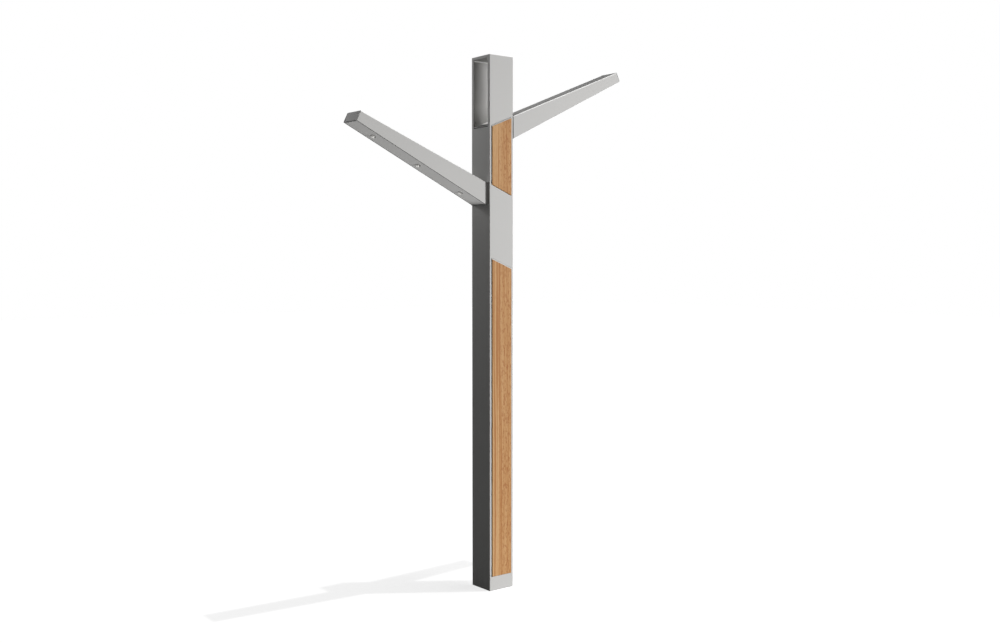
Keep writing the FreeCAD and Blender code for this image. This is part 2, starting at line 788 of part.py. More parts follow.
def repeat_whole(item):
    """Repeats the whole piece at every nozzle."""
    feature = item.newObject("PartDesign::LinearPattern", item.Label + "_row")
    feature.TransformMode = "Whole shape"
    feature.Direction = (origin_item(item, "X_Axis"), [""])
    bind(feature, "Length", "nozzle_spacing * (nozzle_number - 1)")
    bind(feature, "Occurrences", "nozzle_number")
    item.Tip = feature
    doc.recompute()
    return feature


def make_root_plate(side):
    """Thick plate in the arm's root, tapped for the bolts."""
    plate = body(side_name(side) + "_root_plate", arm_place(side))
    secant = "sqrt(1 + %s ^ 2)" % rise
    top = "-arm_sheet * %s - seat_gap" % secant
    foot = "-arm_root + (cover_flange + cover_gap) * " + slant
    outline = sketch(plate, "XZ_Plane")
    polygon(outline, [("0", top), ("0", foot), ("root_plate", "%s + root_plate * %s" % (foot, slope)),
                      ("root_plate", "%s + root_plate * %s" % (top, rise))])
    pad(plate, outline, "arm_width - 2 * arm_sheet - 2 * seat_gap", symmetric=True)
    bolt_grid(plate, "bolt_size + 2 * thread_play", "-root_plate", "2 * root_plate")
    round_feature(plate, "X", "line_outer + 2 * hole_play", "-root_plate", "2 * root_plate", "0",
                  "-" + line_drop, cut=True)
    return plate


def bolt_grid(item, diameter, low, high):
    for spread in (-1, 1):
        for lift in (-1, 1):
            round_feature(item, "X", diameter, low, high, "%d * bolt_spread / 2" % spread,
                          "-bolt_drop + %d * bolt_spacing / 2" % lift, cut=True)


def make_doubler(side):
    """Plate inside the post's wall that spreads the bolts' load."""
    plate = body(side_name(side) + "_doubler", arm_place(side))
    reach = "(bolt_spacing / 2 + washer_size / 2 + doubler_margin)"
    low = "-post_wall - doubler_sheet"
    block_feature(plate, "X", "-doubler_width / 2", "-bolt_drop - " + reach, "doubler_width / 2",
                  "-bolt_drop + " + reach, low, "-post_wall")
    bolt_grid(plate, "bolt_size + 2 * hole_play", low + " - post_wall", "0")
    round_feature(plate, "X", "line_outer + 2 * hole_play", low + " - post_wall", "0", "0",
                  "-" + line_drop, cut=True)
    return plate


def make_arm_bolts(side):
    bolts = body(side_name(side) + "_arm_bolts", arm_place(side))
    seat = "(post_wall + doubler_sheet + washer_sheet)"
    spot = ("-bolt_spread / 2", "-bolt_drop - bolt_spacing / 2")
    shank = round_feature(bolts, "X", "bolt_size", "-" + seat, "root_plate", *spot)
    head = hex_feature(bolts, "X", "bolt_flats", "-%s - bolt_head" % seat, "-" + seat, *spot)
    repeat_grid(bolts, [shank, head])
    return bolts


def make_arm_washers(side):
    washers = body(side_name(side) + "_arm_washers", arm_place(side))
    near = "(post_wall + doubler_sheet)"
    spot = ("-bolt_spread / 2", "-bolt_drop - bolt_spacing / 2")
    disc = round_feature(washers, "X", "washer_size", "-%s - washer_sheet" % near, "-" + near, *spot)
    hole = round_feature(washers, "X", "bolt_size + 2 * hole_play", "-%s - 2 * washer_sheet" % near,
                         "-%s + washer_sheet" % near, *spot, cut=True)
    repeat_grid(washers, [disc, hole])
    return washers


def repeat_grid(item, features):
    """Two by two, at the bolts' spacing."""
    feature = item.newObject("PartDesign::LinearPattern", item.Label + "_grid")
    feature.Originals = features
    feature.Direction = (origin_item(item, "Y_Axis"), [""])
    bind(feature, "Length", "bolt_spread")
    feature.Occurrences = 2
    feature.Direction2 = (origin_item(item, "Z_Axis"), [""])
    bind(feature, "Length2", "bolt_spacing")
    feature.Occurrences2 = 2
    item.Tip = feature
    doc.recompute()
    return feature


# Ends of the manifold, seen in the frame of the arm's underside.
line_lift = "(line_height * %s + line_run * %s)" % (slant, slope)
line_end = "(%s + nozzle_spacing * (nozzle_number - 1) + holder_length)" % first_nozzle
stub_end = ("(%s * %s - line_stub) / %s" % (line_lift, slope, slant),
            "(%s + line_stub * %s) / %s" % (line_lift, slope, slant))
line_corner = ("(%s * %s + line_run) / %s" % (line_lift, slope, slant), "line_height")


def make_manifold(side):
    """Pipe along the arm, bent level where it goes into the post, with a port at each nozzle."""
    line = body(side_name(side) + "_manifold", under_place(side))
    path = sketch(line, "XZ_Plane")
    bent_line(path, (line_end, "line_height"), line_corner, stub_end, "line_bend")
    ring = sketch(line, "YZ_Plane", lift=line_end)
    circle(ring, "0", "line_height", "line_outer")
    circle(ring, "0", "line_height", "line_outer - 2 * line_wall")
    sweep(line, ring, path)
    port = round_feature(line, "Z", "line_outer / 3", "line_height - line_outer", "line_height",
                         first_nozzle, "0", cut=True)
    repeat(line, [port], "X_Axis", "nozzle_spacing * (nozzle_number - 1)", "nozzle_number")
    return line


def sweep(item, ring, path):
    feature = item.newObject("PartDesign::AdditivePipe", item.Label + "_swept")
    feature.Profile = ring
    feature.Spine = (path, [])
    doc.recompute()
    return feature


def make_manifold_plug(side):
    """Plug in the far end of the manifold."""
    plug = body(side_name(side) + "_manifold_plug", under_place(side))
    bore = "line_outer - 2 * line_wall - 2 * line_play"
    round_feature(plug, "X", bore, line_end + " - plug_length", line_end, "0", "line_height")
    hex_feature(plug, "X", "plug_head", line_end, line_end + " + plug_length / 2", "0", "line_height")
    return plug


def make_nozzle_holders(side):
    """Saddles on the manifold that carry the nozzles and stand on the cover."""
    holders = body(side_name(side) + "_nozzle_holders", under_place(side))
    round_feature(holders, "Z", "holder_flange", "arm_sheet", "arm_sheet + holder_flange_sheet",
                  first_nozzle, "0")
    round_feature(holders, "Z", "holder_boss", "arm_sheet", "line_height", first_nozzle, "0")
    half_length = "holder_length / 2"
    round_feature(holders, "X", "holder_barrel", "%s - %s" % (first_nozzle, half_length),
                  "%s + %s" % (first_nozzle, half_length), "0", "line_height")
    round_feature(holders, "X", "line_outer + 2 * line_play", "%s - holder_length" % first_nozzle,
                  "%s + holder_length" % first_nozzle, "0", "line_height", cut=True)
    holders.Tip = round_feature(holders, "Z", "nozzle_thread + 2 * thread_play", "0", "line_height",
                                first_nozzle, "0", cut=True)
    repeat_whole(holders)
    return holders


def make_nozzles(side):
    """Turned nozzles with a hexagon collar, screwed into the holders through the cover."""
    nozzles = body(side_name(side) + "_nozzles", under_place(side))
    collar_top = "(arm_sheet - seal_sheet)"
    collar_foot = "(arm_sheet - seal_sheet - nozzle_collar)"
    hex_feature(nozzles, "Z", "nozzle_flats", collar_foot, collar_top, first_nozzle, "0")
    drawing = sketch(nozzles, "XZ_Plane", shift=first_nozzle)
    polygon(drawing, [("0", "-nozzle_reach"), ("nozzle_body / 2 - nozzle_taper", "-nozzle_reach"),
                      ("nozzle_body / 2", "-nozzle_reach + 2 * nozzle_taper"),
                      ("nozzle_body / 2", collar_foot),
                      ("nozzle_thread / 2", collar_foot),
                      ("nozzle_thread / 2", "arm_sheet + nozzle_thread_length"),
                      ("0", "arm_sheet + nozzle_thread_length")])
    revolve(nozzles, drawing)
    bore = sketch(nozzles, "XZ_Plane", shift=first_nozzle)
    seat = "-nozzle_reach + nozzle_mouth / 2"
    polygon(bore, [("0", "-2 * nozzle_reach"), ("nozzle_mouth / 2", "-2 * nozzle_reach"),
                   ("nozzle_mouth / 2", seat), ("nozzle_mouth / 3", seat),
                   ("nozzle_mouth / 3", "2 * nozzle_thread_length"), ("0", "2 * nozzle_thread_length")])
    nozzles.Tip = revolve(nozzles, bore, cut=True)
    repeat_whole(nozzles)
    return nozzles


def make_orifices(side):
    """Drilled inserts in the mouths of the nozzles."""
    inserts = body(side_name(side) + "_orifices", under_place(side))
    top = "-nozzle_reach + nozzle_mouth / 2"
    drawing = sketch(inserts, "XZ_Plane", shift=first_nozzle)
    outer = "nozzle_mouth / 2 - line_play"
    polygon(drawing, [("orifice_bore / 2", "-nozzle_reach + orifice_bore"),
                      (outer, "-nozzle_reach + orifice_bore / 2"), (outer, top),
                      ("orifice_bore / 2", top)])
    inserts.Tip = revolve(inserts, drawing)
    repeat_whole(inserts)
    return inserts


def make_nozzle_seals(side):
    seals = body(side_name(side) + "_nozzle_seals", under_place(side))
    low = "arm_sheet - seal_sheet"
    round_feature(seals, "Z", "nozzle_hole - 2 * hole_play", low, "arm_sheet", first_nozzle, "0")
    seals.Tip = round_feature(seals, "Z", "nozzle_thread + 2 * thread_play", low + " - seal_sheet",
                              "2 * arm_sheet", first_nozzle, "0", cut=True)
    repeat_whole(seals)
    return seals


def make_feed_union(side):
    """Sleeve that joins the manifold's stub to the feed pipe."""
    union = body(side_name(side) + "_feed_union", arm_place(side))
    low = "-line_stub - union_step / 2 - union_length / 2"
    high = "-line_stub - union_step / 2 + union_length / 2"
    height = "-" + line_drop
    round_feature(union, "X", "union_outer", low, high, "0", height)
    round_feature(union, "X", "line_outer + 2 * line_play", low + " - line_stub", high + " + line_stub",
                  "0", height, cut=True)
    return union


def make_feed_pipe(side):
    """Bent pipe from the distribution block up to the arm's manifold."""
    feed = body(side_name(side) + "_feed_pipe", arm_place(side))
    start = "-(line_stub + union_step)"
    level = "-" + line_drop
    height = "right_arm_height" if side > 0 else "left_arm_height"
    foot = "block_foot + block_height - socket_depth - " + height
    path = sketch(feed, "XZ_Plane")
    bent_line(path, (start, level), ("-" + half, level), ("-" + half, foot), "feed_bend")
    ring = sketch(feed, "YZ_Plane", lift=start)
    circle(ring, "0", level, "line_outer")
    circle(ring, "0", level, "feed_bore")
    sweep(feed, ring, path)
    return feed


# ---- water train on the post's axis --------------------------------------------------------------

def level(height):
    return Placement(Vector(0, 0, number(height)), Rotation())


def make_block():
    """Distribution block: one inlet from the riser, one outlet for each feed pipe."""
    block = body("distribution_block")
    top = "block_foot + block_height"
    block_feature(block, "Z", "-block_width / 2", "-block_depth / 2", "block_width / 2",
                  "block_depth / 2", "block_foot", top)
    round_feature(block, "Z", "pipe_outer + 2 * line_play", "block_foot - socket_depth", "riser_top",
                  cut=True)
    for side in (-1, 1):
        middle = "%d * (post_side - arm_width) / 2" % side
        round_feature(block, "Z", "line_outer + 2 * line_play", top + " - socket_depth",
                      top + " + socket_depth", "0", middle, cut=True)
        round_feature(block, "Z", "feed_bore", "riser_top", top, "0", middle, cut=True)
    reach = "((post_side - arm_width) / 2)"
    round_feature(block, "Y", "feed_bore", "-" + reach, reach, "0", "riser_top + feed_bore / 4",
                  cut=True)
    return block


def pipe(item, low, high):
    tube = round_feature(item, "Z", "pipe_outer", low, high)
    round_feature(item, "Z", "pipe_bore", low, high, cut=True)
    return tube


def make_riser():
    riser = body("riser_pipe")
    pipe(riser, "solenoid_height + solenoid_half - socket_depth", "riser_top")
    return riser


def make_pipe_clamps():
    """Clamps that hold the riser to the back wall."""
    clamps = body("pipe_clamps")
    outer = "pipe_outer + 2 * clamp_wall"
    ring = round_feature(clamps, "Z", outer, "clamp_foot", "clamp_foot + clamp_height")
    stud = round_feature(clamps, "Y", "clamp_stud", "pipe_outer / 2", inside, "0",
                         "clamp_foot + clamp_height / 2")
    bore = round_feature(clamps, "Z", "pipe_outer + 2 * line_play", "clamp_foot - clamp_height",
                         "clamp_foot + 2 * clamp_height", cut=True)
    repeat(clamps, [ring, stud, bore], "Z_Axis", "clamp_spacing * (clamp_number - 1)", "clamp_number")
    return clamps


def make_inlet_union():
    """Socket in the foot that takes the supply pipe from below."""
    union = body("inlet_union")
    round_feature(union, "Z", "inlet_outer", "inlet_foot", "inlet_top")
    round_feature(union, "Z", "inlet_bore", "0", "inlet_foot + inlet_depth", cut=True)
    round_feature(union, "Z", "pipe_bore", "0", "inlet_top", cut=True)
    round_feature(union, "Z", "pipe_outer + 2 * line_play", "inlet_top - inlet_grip",
                  "inlet_top + inlet_grip", cut=True)
    return union


def make_pipe_nipples():
    """Inlet pipe and the two short pipes between the valves."""
    nipples = body("pipe_nipples")
    spans = [("inlet_top - inlet_grip", "valve_height - valve_half + socket_depth"),
             ("valve_height + valve_half - socket_depth",
              "strainer_height - strainer_half + socket_depth"),
             ("strainer_height + strainer_half - socket_depth",
              "solenoid_height - solenoid_half + socket_depth")]
    for low, high in spans:
        round_feature(nipples, "Z", "pipe_outer", low, high)
    for low, high in spans:
        round_feature(nipples, "Z", "pipe_bore", low, high, cut=True)
    return nipples


def bore_sockets(item, reach):
    """Through bore and a pipe socket at both ends of a valve of half-length 'reach'."""
    round_feature(item, "Z", "pipe_bore", "-" + reach, reach, cut=True)
    round_feature(item, "Z", "pipe_outer + 2 * line_play", "%s - socket_depth" % reach,
                  "2 * " + reach, cut=True)
    round_feature(item, "Z", "pipe_outer + 2 * line_play", "-2 * " + reach,
                  "socket_depth - " + reach, cut=True)


def make_ball_valve_body():
    valve = body("ball_valve_body", level("valve_height"))
    round_feature(valve, "Z", "valve_outer", "-valve_waist", "valve_waist")
    round_feature(valve, "Z", "socket_outer", "-valve_half", "valve_half")
    round_feature(valve, "Y", "gland_outer", "0", "gland_reach")
    bore_sockets(valve, "valve_half")
    cavity = valve.newObject("PartDesign::SubtractiveSphere", "valve_cavity")
    bind(cavity, "Radius", "ball_size / 2 + ball_play")
    doc.recompute()
    round_feature(valve, "Y", "stem_size + 2 * ball_play", "stem_foot", "2 * gland_reach", cut=True)
    return valve


def make_valve_ball():
    ball = body("valve_ball", level("valve_height"))
    sphere = ball.newObject("PartDesign::AdditiveSphere", "ball_sphere")
    bind(sphere, "Radius", "ball_size / 2")
    doc.recompute()
    round_feature(ball, "Z", "pipe_bore", "-ball_size", "ball_size", cut=True)
    round_feature(ball, "Y", "stem_size + 2 * thread_play", "stem_foot", "ball_size", cut=True)
    return ball


def make_valve_stem():
    stem = body("valve_stem", level("valve_height"))
    round_feature(stem, "Y", "stem_size", "stem_foot", "stem_reach")
    return stem


def make_valve_lever():
    """Flat lever, along the pipe when the valve is open."""
    lever = body("valve_lever", level("valve_height"))
    blade = block_feature(lever, "Y", "-lever_width / 2", "-lever_width", "lever_width / 2",
                          "lever_length", "lever_height", "lever_height + lever_sheet")
    dress("Fillet", lever, blade, lambda edge: runs_along(edge, Vector(0, 1, 0)), "Radius",
          "0.4 * lever_width")
    round_feature(lever, "Y", "stem_size + 2 * thread_play", "lever_height - lever_sheet",
                  "lever_height + 2 * lever_sheet", cut=True)
    return lever


def make_lever_grip():
    """Dipped grip on the end of the lever."""
    grip = body("lever_grip", level("valve_height"))
    side = "(lever_width / 2 + grip_wall)"
    top = "lever_length + grip_wall"
    foot = "%s - grip_length" % top
    low = "lever_height - grip_wall"
    high = "lever_height + lever_sheet + grip_wall"
    blade = block_feature(grip, "Y", "-" + side, foot, side, top, low, high)
    dress("Fillet", grip, blade, lambda edge: runs_along(edge, Vector(0, 1, 0)), "Radius",
          "0.4 * lever_width")
    block_feature(grip, "Y", "-lever_width / 2", foot + " - grip_length", "lever_width / 2",
                  "lever_length", "lever_height", "lever_height + lever_sheet", cut=True)
    return grip


def make_lever_nut():
    nut = body("lever_nut", level("valve_height"))
    low = "lever_height + lever_sheet"
    hex_feature(nut, "Y", "lever_nut_flats", low, "stem_reach")
    round_feature(nut, "Y", "stem_size + 2 * thread_play", low + " - lever_sheet",
                  "2 * stem_reach", cut=True)
    return nut


def branch_place():
    """Frame of the strainer's branch: Z out of it, down and towards the service door."""
    turn = Rotation(Vector(1, 0, 0), -135)
    return Placement(Vector(0, 0, number("strainer_height")), turn)


def make_strainer_body():
    strainer = body("strainer_body", level("strainer_height"))
    round_feature(strainer, "Z", "strainer_outer", "-strainer_half", "strainer_half")
    for kind, diameter, foot in (("Additive", "strainer_branch_outer", "0"),
                                 ("Subtractive", "branch_bore", "screen_foot")):
        branch = strainer.newObject("PartDesign::%sCylinder" % kind, kind.lower() + "_branch")
        bind(branch, "Radius", "(%s) / 2" % diameter)
        bind(branch, "Height", "strainer_branch - " + foot)
        turn = Rotation(Vector(1, 0, 0), -135)
        branch.Placement = Placement(turn.multVec(Vector(0, 0, number(foot))), turn)
        doc.recompute()
        if kind == "Additive":
            bore_sockets(strainer, "strainer_half")
    return strainer


def make_strainer_screen():
    screen = body("strainer_screen", branch_place())
    round_feature(screen, "Z", "screen_outer", "screen_foot", "strainer_branch")
    round_feature(screen, "Z", "screen_outer - 2 * screen_wall", "screen_foot + screen_wall",
                  "2 * strainer_branch", cut=True)
    return screen


def make_strainer_cap():
    cap = body("strainer_cap", branch_place())
    hex_feature(cap, "Z", "strainer_cap_flats", "strainer_branch",
                "strainer_branch + strainer_cap_sheet")
    return cap


def make_solenoid_body():
    """Valve body with the tube that the coil sits on."""
    valve = body("solenoid_body", level("solenoid_height"))
    block_feature(valve, "Z", "-solenoid_width / 2", "-solenoid_depth / 2", "solenoid_width / 2",
                  "solenoid_depth / 2", "-solenoid_waist", "solenoid_waist")
    round_feature(valve, "Z", "socket_outer", "-solenoid_half", "solenoid_half")
    round_feature(valve, "Y", "guide_outer", "0", "guide_reach")
    bore_sockets(valve, "solenoid_half")
    return valve


def make_solenoid_coil():
    coil = body("solenoid_coil", level("solenoid_height"))
    reach = "coil_width / 2"
    case = block_feature(coil, "Y", "-" + reach, "-" + reach, reach, reach, "coil_foot", "coil_reach")
    dress("Fillet", coil, case, lambda edge: runs_along(edge, Vector(0, 1, 0)), "Radius",
          "coil_width / 9")
    round_feature(coil, "Y", "guide_outer + 2 * coil_play", "0", "2 * coil_reach", cut=True)
    return coil


def make_coil_nut():
    nut = body("coil_nut", level("solenoid_height"))
    hex_feature(nut, "Y", "coil_nut_flats", "coil_reach", "coil_reach + coil_nut_sheet")
    round_feature(nut, "Y", "guide_outer + 2 * coil_play", "0", "2 * coil_reach", cut=True)
    return nut


# ---- service door --------------------------------------------------------------------------------

door_mid = "(door_foot + door_height / 2)"


def door_frame_shape(item, grow, low, high, cut=False):
    """A block over the door opening, grown by 'grow' on each side."""
    return block_feature(item, "Y", "-(door_width / 2 + %s)" % grow, "door_foot - (%s)" % grow,
                         "door_width / 2 + %s" % grow, "door_foot + door_height + %s" % grow,
                         low, high, cut)


lock_x = "(lock_inset - door_width / 2)"


def make_service_door():
    door = body("service_door")
    leaf = door_frame_shape(door, "(-door_gap)", inside, half)
    dress("Fillet", door, leaf, lambda edge: runs_along(edge, Vector(0, 1, 0)), "Radius",
          "door_corner - door_gap")
    round_feature(door, "Y", "lock_outer + 2 * hole_play", inside + " - post_wall",
                  half + " + post_wall", lock_x, door_mid, cut=True)
    return door


def make_door_frame():
    """Rebated frame inside the opening that the door closes against."""
    frame = body("door_frame")
    low = inside + " - frame_sheet"
    door_frame_shape(frame, "frame_lap", low, inside)
    door_frame_shape(frame, "(-frame_lap)", low + " - frame_sheet", half, cut=True)
    door_frame_shape(frame, "0", inside + " - frame_rebate", half, cut=True)
    return frame


def make_door_gasket():
    gasket = body("door_gasket")
    low = inside + " - frame_rebate"
    door_frame_shape(gasket, "(-gasket_play)", low, inside + " - gasket_play")
    door_frame_shape(gasket, "(-gasket_play - gasket_width)", low + " - frame_sheet", half, cut=True)
    return gasket


hinge_x = "(door_width / 2 - door_gap / 2)"
hinge_y = "(%s + hinge_lift)" % half
hinge_z = "(door_foot + hinge_inset)"
hinge_third = "(hinge_length / 6)"


def hinge_leaf(label, outward_side, knuckles):
    """Leaves of both hinges on one side of the pin, with the knuckles at the given spans."""
    leaves = body(label)
    near = "%s + %d * (hinge_knuckle + hinge_slit)" % (hinge_x, outward_side)
    far = "%s + %d * (hinge_knuckle + hinge_leaf)" % (hinge_x, outward_side)
    leaf_top = half + " + hinge_leaf_sheet"
    features = [span_block(leaves, near, far, leaf_top, "-hinge_length / 2", "hinge_length / 2")]
    for low, high in knuckles:
        features.append(span_block(leaves, hinge_x, far, leaf_top, low, high))
        features.append(round_feature(leaves, "Z", "2 * hinge_knuckle", "%s + %s" % (hinge_z, low),
                                      "%s + %s" % (hinge_z, high), hinge_x, hinge_y))
    features.append(round_feature(leaves, "Z", "hinge_pin + 2 * hinge_play",
                                  hinge_z + " - hinge_length", hinge_z + " + hinge_length",
                                  hinge_x, hinge_y, cut=True))
    repeat(leaves, features, "Z_Axis", "door_height - 2 * hinge_inset", "2")
    return leaves


def span_block(item, one, other, top, low, high):
    left, right = (one, other) if number(one) < number(other) else (other, one)
    return block_feature(item, "Z", left, half, right, top, "%s + %s" % (hinge_z, low),
                         "%s + %s" % (hinge_z, high))


def make_post_hinge_leaves():
    ends = [("-hinge_length / 2", "-%s - hinge_slit" % hinge_third),
            (hinge_third + " + hinge_slit", "hinge_length / 2")]
    return hinge_leaf("post_hinge_leaves", 1, ends)


def make_door_hinge_leaves():
    middle = [("-" + hinge_third, hinge_third)]
    return hinge_leaf("door_hinge_leaves", -1, middle)


def make_hinge_pins():
    pins = body("hinge_pins")
    top = hinge_z + " + hinge_length / 2"
    shank = round_feature(pins, "Z", "hinge_pin", hinge_z + " - hinge_length / 2", top, hinge_x,
                          hinge_y)
    head = round_feature(pins, "Z", "pin_head", top, top + " + hinge_leaf_sheet", hinge_x, hinge_y)
    repeat(pins, [shank, head], "Z_Axis", "door_height - 2 * hinge_inset", "2")
    return pins


def lock_place():
    """Frame of the lock: on the door's outer face, Y out of the door."""
    return Placement(Vector(number(lock_x), number(half), number(door_mid)), Rotation())


def make_lock_housing():
    housing = body("lock_housing", lock_place())
    round_feature(housing, "Y", "lock_outer", "-lock_depth", "0")
    face = round_feature(housing, "Y", "lock_face", "0", "lock_face_sheet")
    rim = number("lock_face_sheet") - 0.01
    dress("Chamfer", housing, face, lambda edge: edge.BoundBox.YMin > rim, "Size",
          "lock_face_sheet / 3")
    round_feature(housing, "Y", "lock_plug + 2 * ball_play", "-2 * lock_depth", "lock_depth",
                  cut=True)
    return housing


def make_lock_nut():
    nut = body("lock_nut", lock_place())
    round_feature(nut, "Y", "lock_nut", "-post_wall - lock_nut_sheet", "-post_wall")
    round_feature(nut, "Y", "lock_outer + 2 * thread_play", "-3 * lock_nut_sheet", "0", cut=True)
    return nut


cam_back = "(lock_depth + cam_play + cam_sheet)"


def make_lock_plug():
    """Plug with a three-sided key socket in front and a tail that carries the cam."""
    plug = body("lock_plug", lock_place())
    face = "(lock_face_sheet - seat_gap)"
    round_feature(plug, "Y", "lock_plug", "-lock_depth - cam_play", face)
    round_feature(plug, "Y", "cam_tail", "-" + cam_back, "-lock_depth - cam_play")
    key = sketch(plug, "XZ_Plane", lift="-" + face)
    corners = []
    for corner in range(3):
        turn = "%d * 1deg" % (120 * corner + 90)
        corners.append(("lock_key / sqrt(3) * cos(%s)" % turn, "lock_key / sqrt(3) * sin(%s)" % turn))
    polygon(key, corners)
    pocket(plug, key, "lock_key_depth", reversed_=True)
    round_feature(plug, "Y", "cam_screw + 2 * thread_play", "-2 * lock_depth",
                  "-lock_depth + cam_sheet", cut=True)
    return plug


def make_lock_cam():
    """Cam that hangs down when open and reaches behind the frame after a quarter turn."""
    cam = body("lock_cam", lock_place())
    blade = block_feature(cam, "Y", "-cam_width / 2", "-cam_length", "cam_width / 2", "cam_width / 2",
                          "-" + cam_back, "-lock_depth - cam_play")
    dress("Fillet", cam, blade, lambda edge: runs_along(edge, Vector(0, 1, 0)), "Radius",
          "0.4 * cam_width")
    round_feature(cam, "Y", "cam_tail + 2 * thread_play", "-2 * " + cam_back, "0", cut=True)
    return cam


def make_cam_screw():
    screw = body("cam_screw", lock_place())
    round_feature(screw, "Y", "cam_screw", "-" + cam_back, "-lock_depth")
    hex_feature(screw, "Y", "cam_screw_head", "-%s - cam_sheet" % cam_back, "-" + cam_back)
    return screw


# ---- the whole post ------------------------------------------------------------------------------

def pair(label, make):
    """One node for the same small pieces in both arms."""
    group = doc.addObject("Part::Compound", label)
    group.Label = label
    group.Links = [make(side) for side in (-1, 1)]
    doc.recompute()
    return group


pieces = [make_post_tube(), make_top_cap(), make_sill(), make_base_plate()]
pieces.append(make_board("upper_board", upper_board_outline("0")))
pieces.append(make_board("lower_board", lower_board_outline("0")))
pieces += [make_upper_pan(), make_lower_pan(), make_adhesive()]

for arm_side in (-1, 1):
    for make_piece in (make_arm_shell, make_arm_cover, make_root_plate, make_doubler, make_manifold,
                       make_nozzle_holders, make_nozzles, make_feed_pipe):
        pieces.append(make_piece(arm_side))
pieces.append(pair("arm_bolts", make_arm_bolts))
pieces.append(pair("arm_washers", make_arm_washers))
pieces.append(pair("cover_screws", make_cover_screws))
pieces.append(pair("nozzle_seals", make_nozzle_seals))
pieces.append(pair("orifices", make_orifices))
pieces.append(pair("manifold_plugs", make_manifold_plug))
pieces.append(pair("feed_unions", make_feed_union))

for make_piece in (make_block, make_riser, make_pipe_clamps, make_inlet_union, make_pipe_nipples,
                   make_ball_valve_body, make_valve_ball, make_valve_stem, make_valve_lever,
                   make_lever_grip, make_lever_nut, make_strainer_body, make_strainer_screen,
                   make_strainer_cap, make_solenoid_body, make_solenoid_coil, make_coil_nut):
    pieces.append(make_piece())

for make_piece in (make_service_door, make_door_frame, make_door_gasket, make_post_hinge_leaves,
                   make_door_hinge_leaves, make_hinge_pins, make_lock_housing, make_lock_nut,
                   make_lock_plug, make_lock_cam, make_cam_screw):
    pieces.append(make_piece())

doc.recompute()
for item in doc.Objects:
    if "Invalid" in item.State or "Error" in item.State:
        raise RuntimeError("%s did not build: %s" % (item.Label, item.State))
for piece in pieces:
    if piece.Shape.isNull() or not piece.Shape.isValid():
        raise RuntimeError(piece.Label + " has no valid shape")

os.makedirs("parts", exist_ok=True)
for piece in pieces:
    piece.Shape.exportStep("parts/%s.step" % piece.Label)
    box = piece.Shape.BoundBox
    print("%-22s solids %2d  volume %10.0f  x %7.1f %7.1f  y %7.1f %7.1f  z %7.1f %7.1f" % (
        piece.Label, len(piece.Shape.Solids), piece.Shape.Volume,
        box.XMin, box.XMax, box.YMin, box.YMax, box.ZMin, box.ZMax))
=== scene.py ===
import json
import math

import bpy
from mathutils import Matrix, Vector


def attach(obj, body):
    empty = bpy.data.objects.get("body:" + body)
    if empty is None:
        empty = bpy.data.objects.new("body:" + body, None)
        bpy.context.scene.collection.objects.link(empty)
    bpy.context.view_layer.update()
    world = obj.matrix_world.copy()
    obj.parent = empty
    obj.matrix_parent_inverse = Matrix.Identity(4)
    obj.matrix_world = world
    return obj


# A misting post of powder-coated steel with two oak boards. Metres, +Z up, front towards -Y.

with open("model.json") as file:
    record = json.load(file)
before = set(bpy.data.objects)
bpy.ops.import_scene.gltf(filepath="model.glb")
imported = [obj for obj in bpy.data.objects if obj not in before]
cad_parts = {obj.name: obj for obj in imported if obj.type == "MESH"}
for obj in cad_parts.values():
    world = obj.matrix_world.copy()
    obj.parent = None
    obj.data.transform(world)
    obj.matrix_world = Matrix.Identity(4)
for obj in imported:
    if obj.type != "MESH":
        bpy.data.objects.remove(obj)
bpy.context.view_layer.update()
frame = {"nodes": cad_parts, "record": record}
nodes = frame["nodes"]
print("frame loaded,", len(nodes), "nodes")


# builds one node; sockets given as values are linked, plain values are set
def add(tree, kind, inputs=None, **settings):
    made = tree.nodes.new(kind)
    for name, value in settings.items():
        setattr(made, name, value)
    for key, value in (inputs or {}).items():
        if isinstance(value, bpy.types.NodeSocket):
            tree.links.new(value, made.inputs[key])
        else:
            made.inputs[key].default_value = value
    return made


def startMaterial(name):
    material = bpy.data.materials.new(name)
    material.use_nodes = True
    tree = material.node_tree
    shader = tree.nodes["Principled BSDF"]
    place = add(tree, "ShaderNodeTexCoord").outputs["Object"]
    return material, tree, shader, place


def scaled(tree, place, size):
    return add(tree, "ShaderNodeVectorMath", {0: place, 1: size}, operation="MULTIPLY").outputs[0]


def noise(tree, place, scale, detail=3.0, roughness=0.5):
    inputs = {"Vector": place, "Scale": scale, "Detail": detail, "Roughness": roughness}
    return add(tree, "ShaderNodeTexNoise", inputs).outputs["Fac"]


def spread(tree, value, fromLow, fromHigh, toLow, toHigh):
    inputs = {"Value": value, "From Min": fromLow, "From Max": fromHigh, "To Min": toLow,
              "To Max": toHigh}
    return add(tree, "ShaderNodeMapRange", inputs).outputs["Result"]


def blendColour(tree, amount, one, other, how="MIX"):
    mixer = add(tree, "ShaderNodeMix", data_type="RGBA", blend_type=how)
    for key, value in ((0, amount), (6, one), (7, other)):
        if isinstance(value, bpy.types.NodeSocket):
            tree.links.new(value, mixer.inputs[key])
        else:
            mixer.inputs[key].default_value = value if key == 0 else (*value, 1.0)
    return mixer.outputs[2]


def combine(tree, how, one, other=0.0):
    return add(tree, "ShaderNodeMath", {0: one, 1: other}, operation=how).outputs[0]


def ramp(tree, value, stops):
    made = add(tree, "ShaderNodeValToRGB", {"Fac": value})
    band = made.color_ramp
    band.elements[0].position, band.elements[1].position = stops[0][0], stops[-1][0]
    band.elements[0].color = (*stops[0][1], 1.0)
    band.elements[1].color = (*stops[-1][1], 1.0)
    for position, colour in stops[1:-1]:
        band.elements.new(position).color = (*colour, 1.0)
    return made.outputs["Color"]


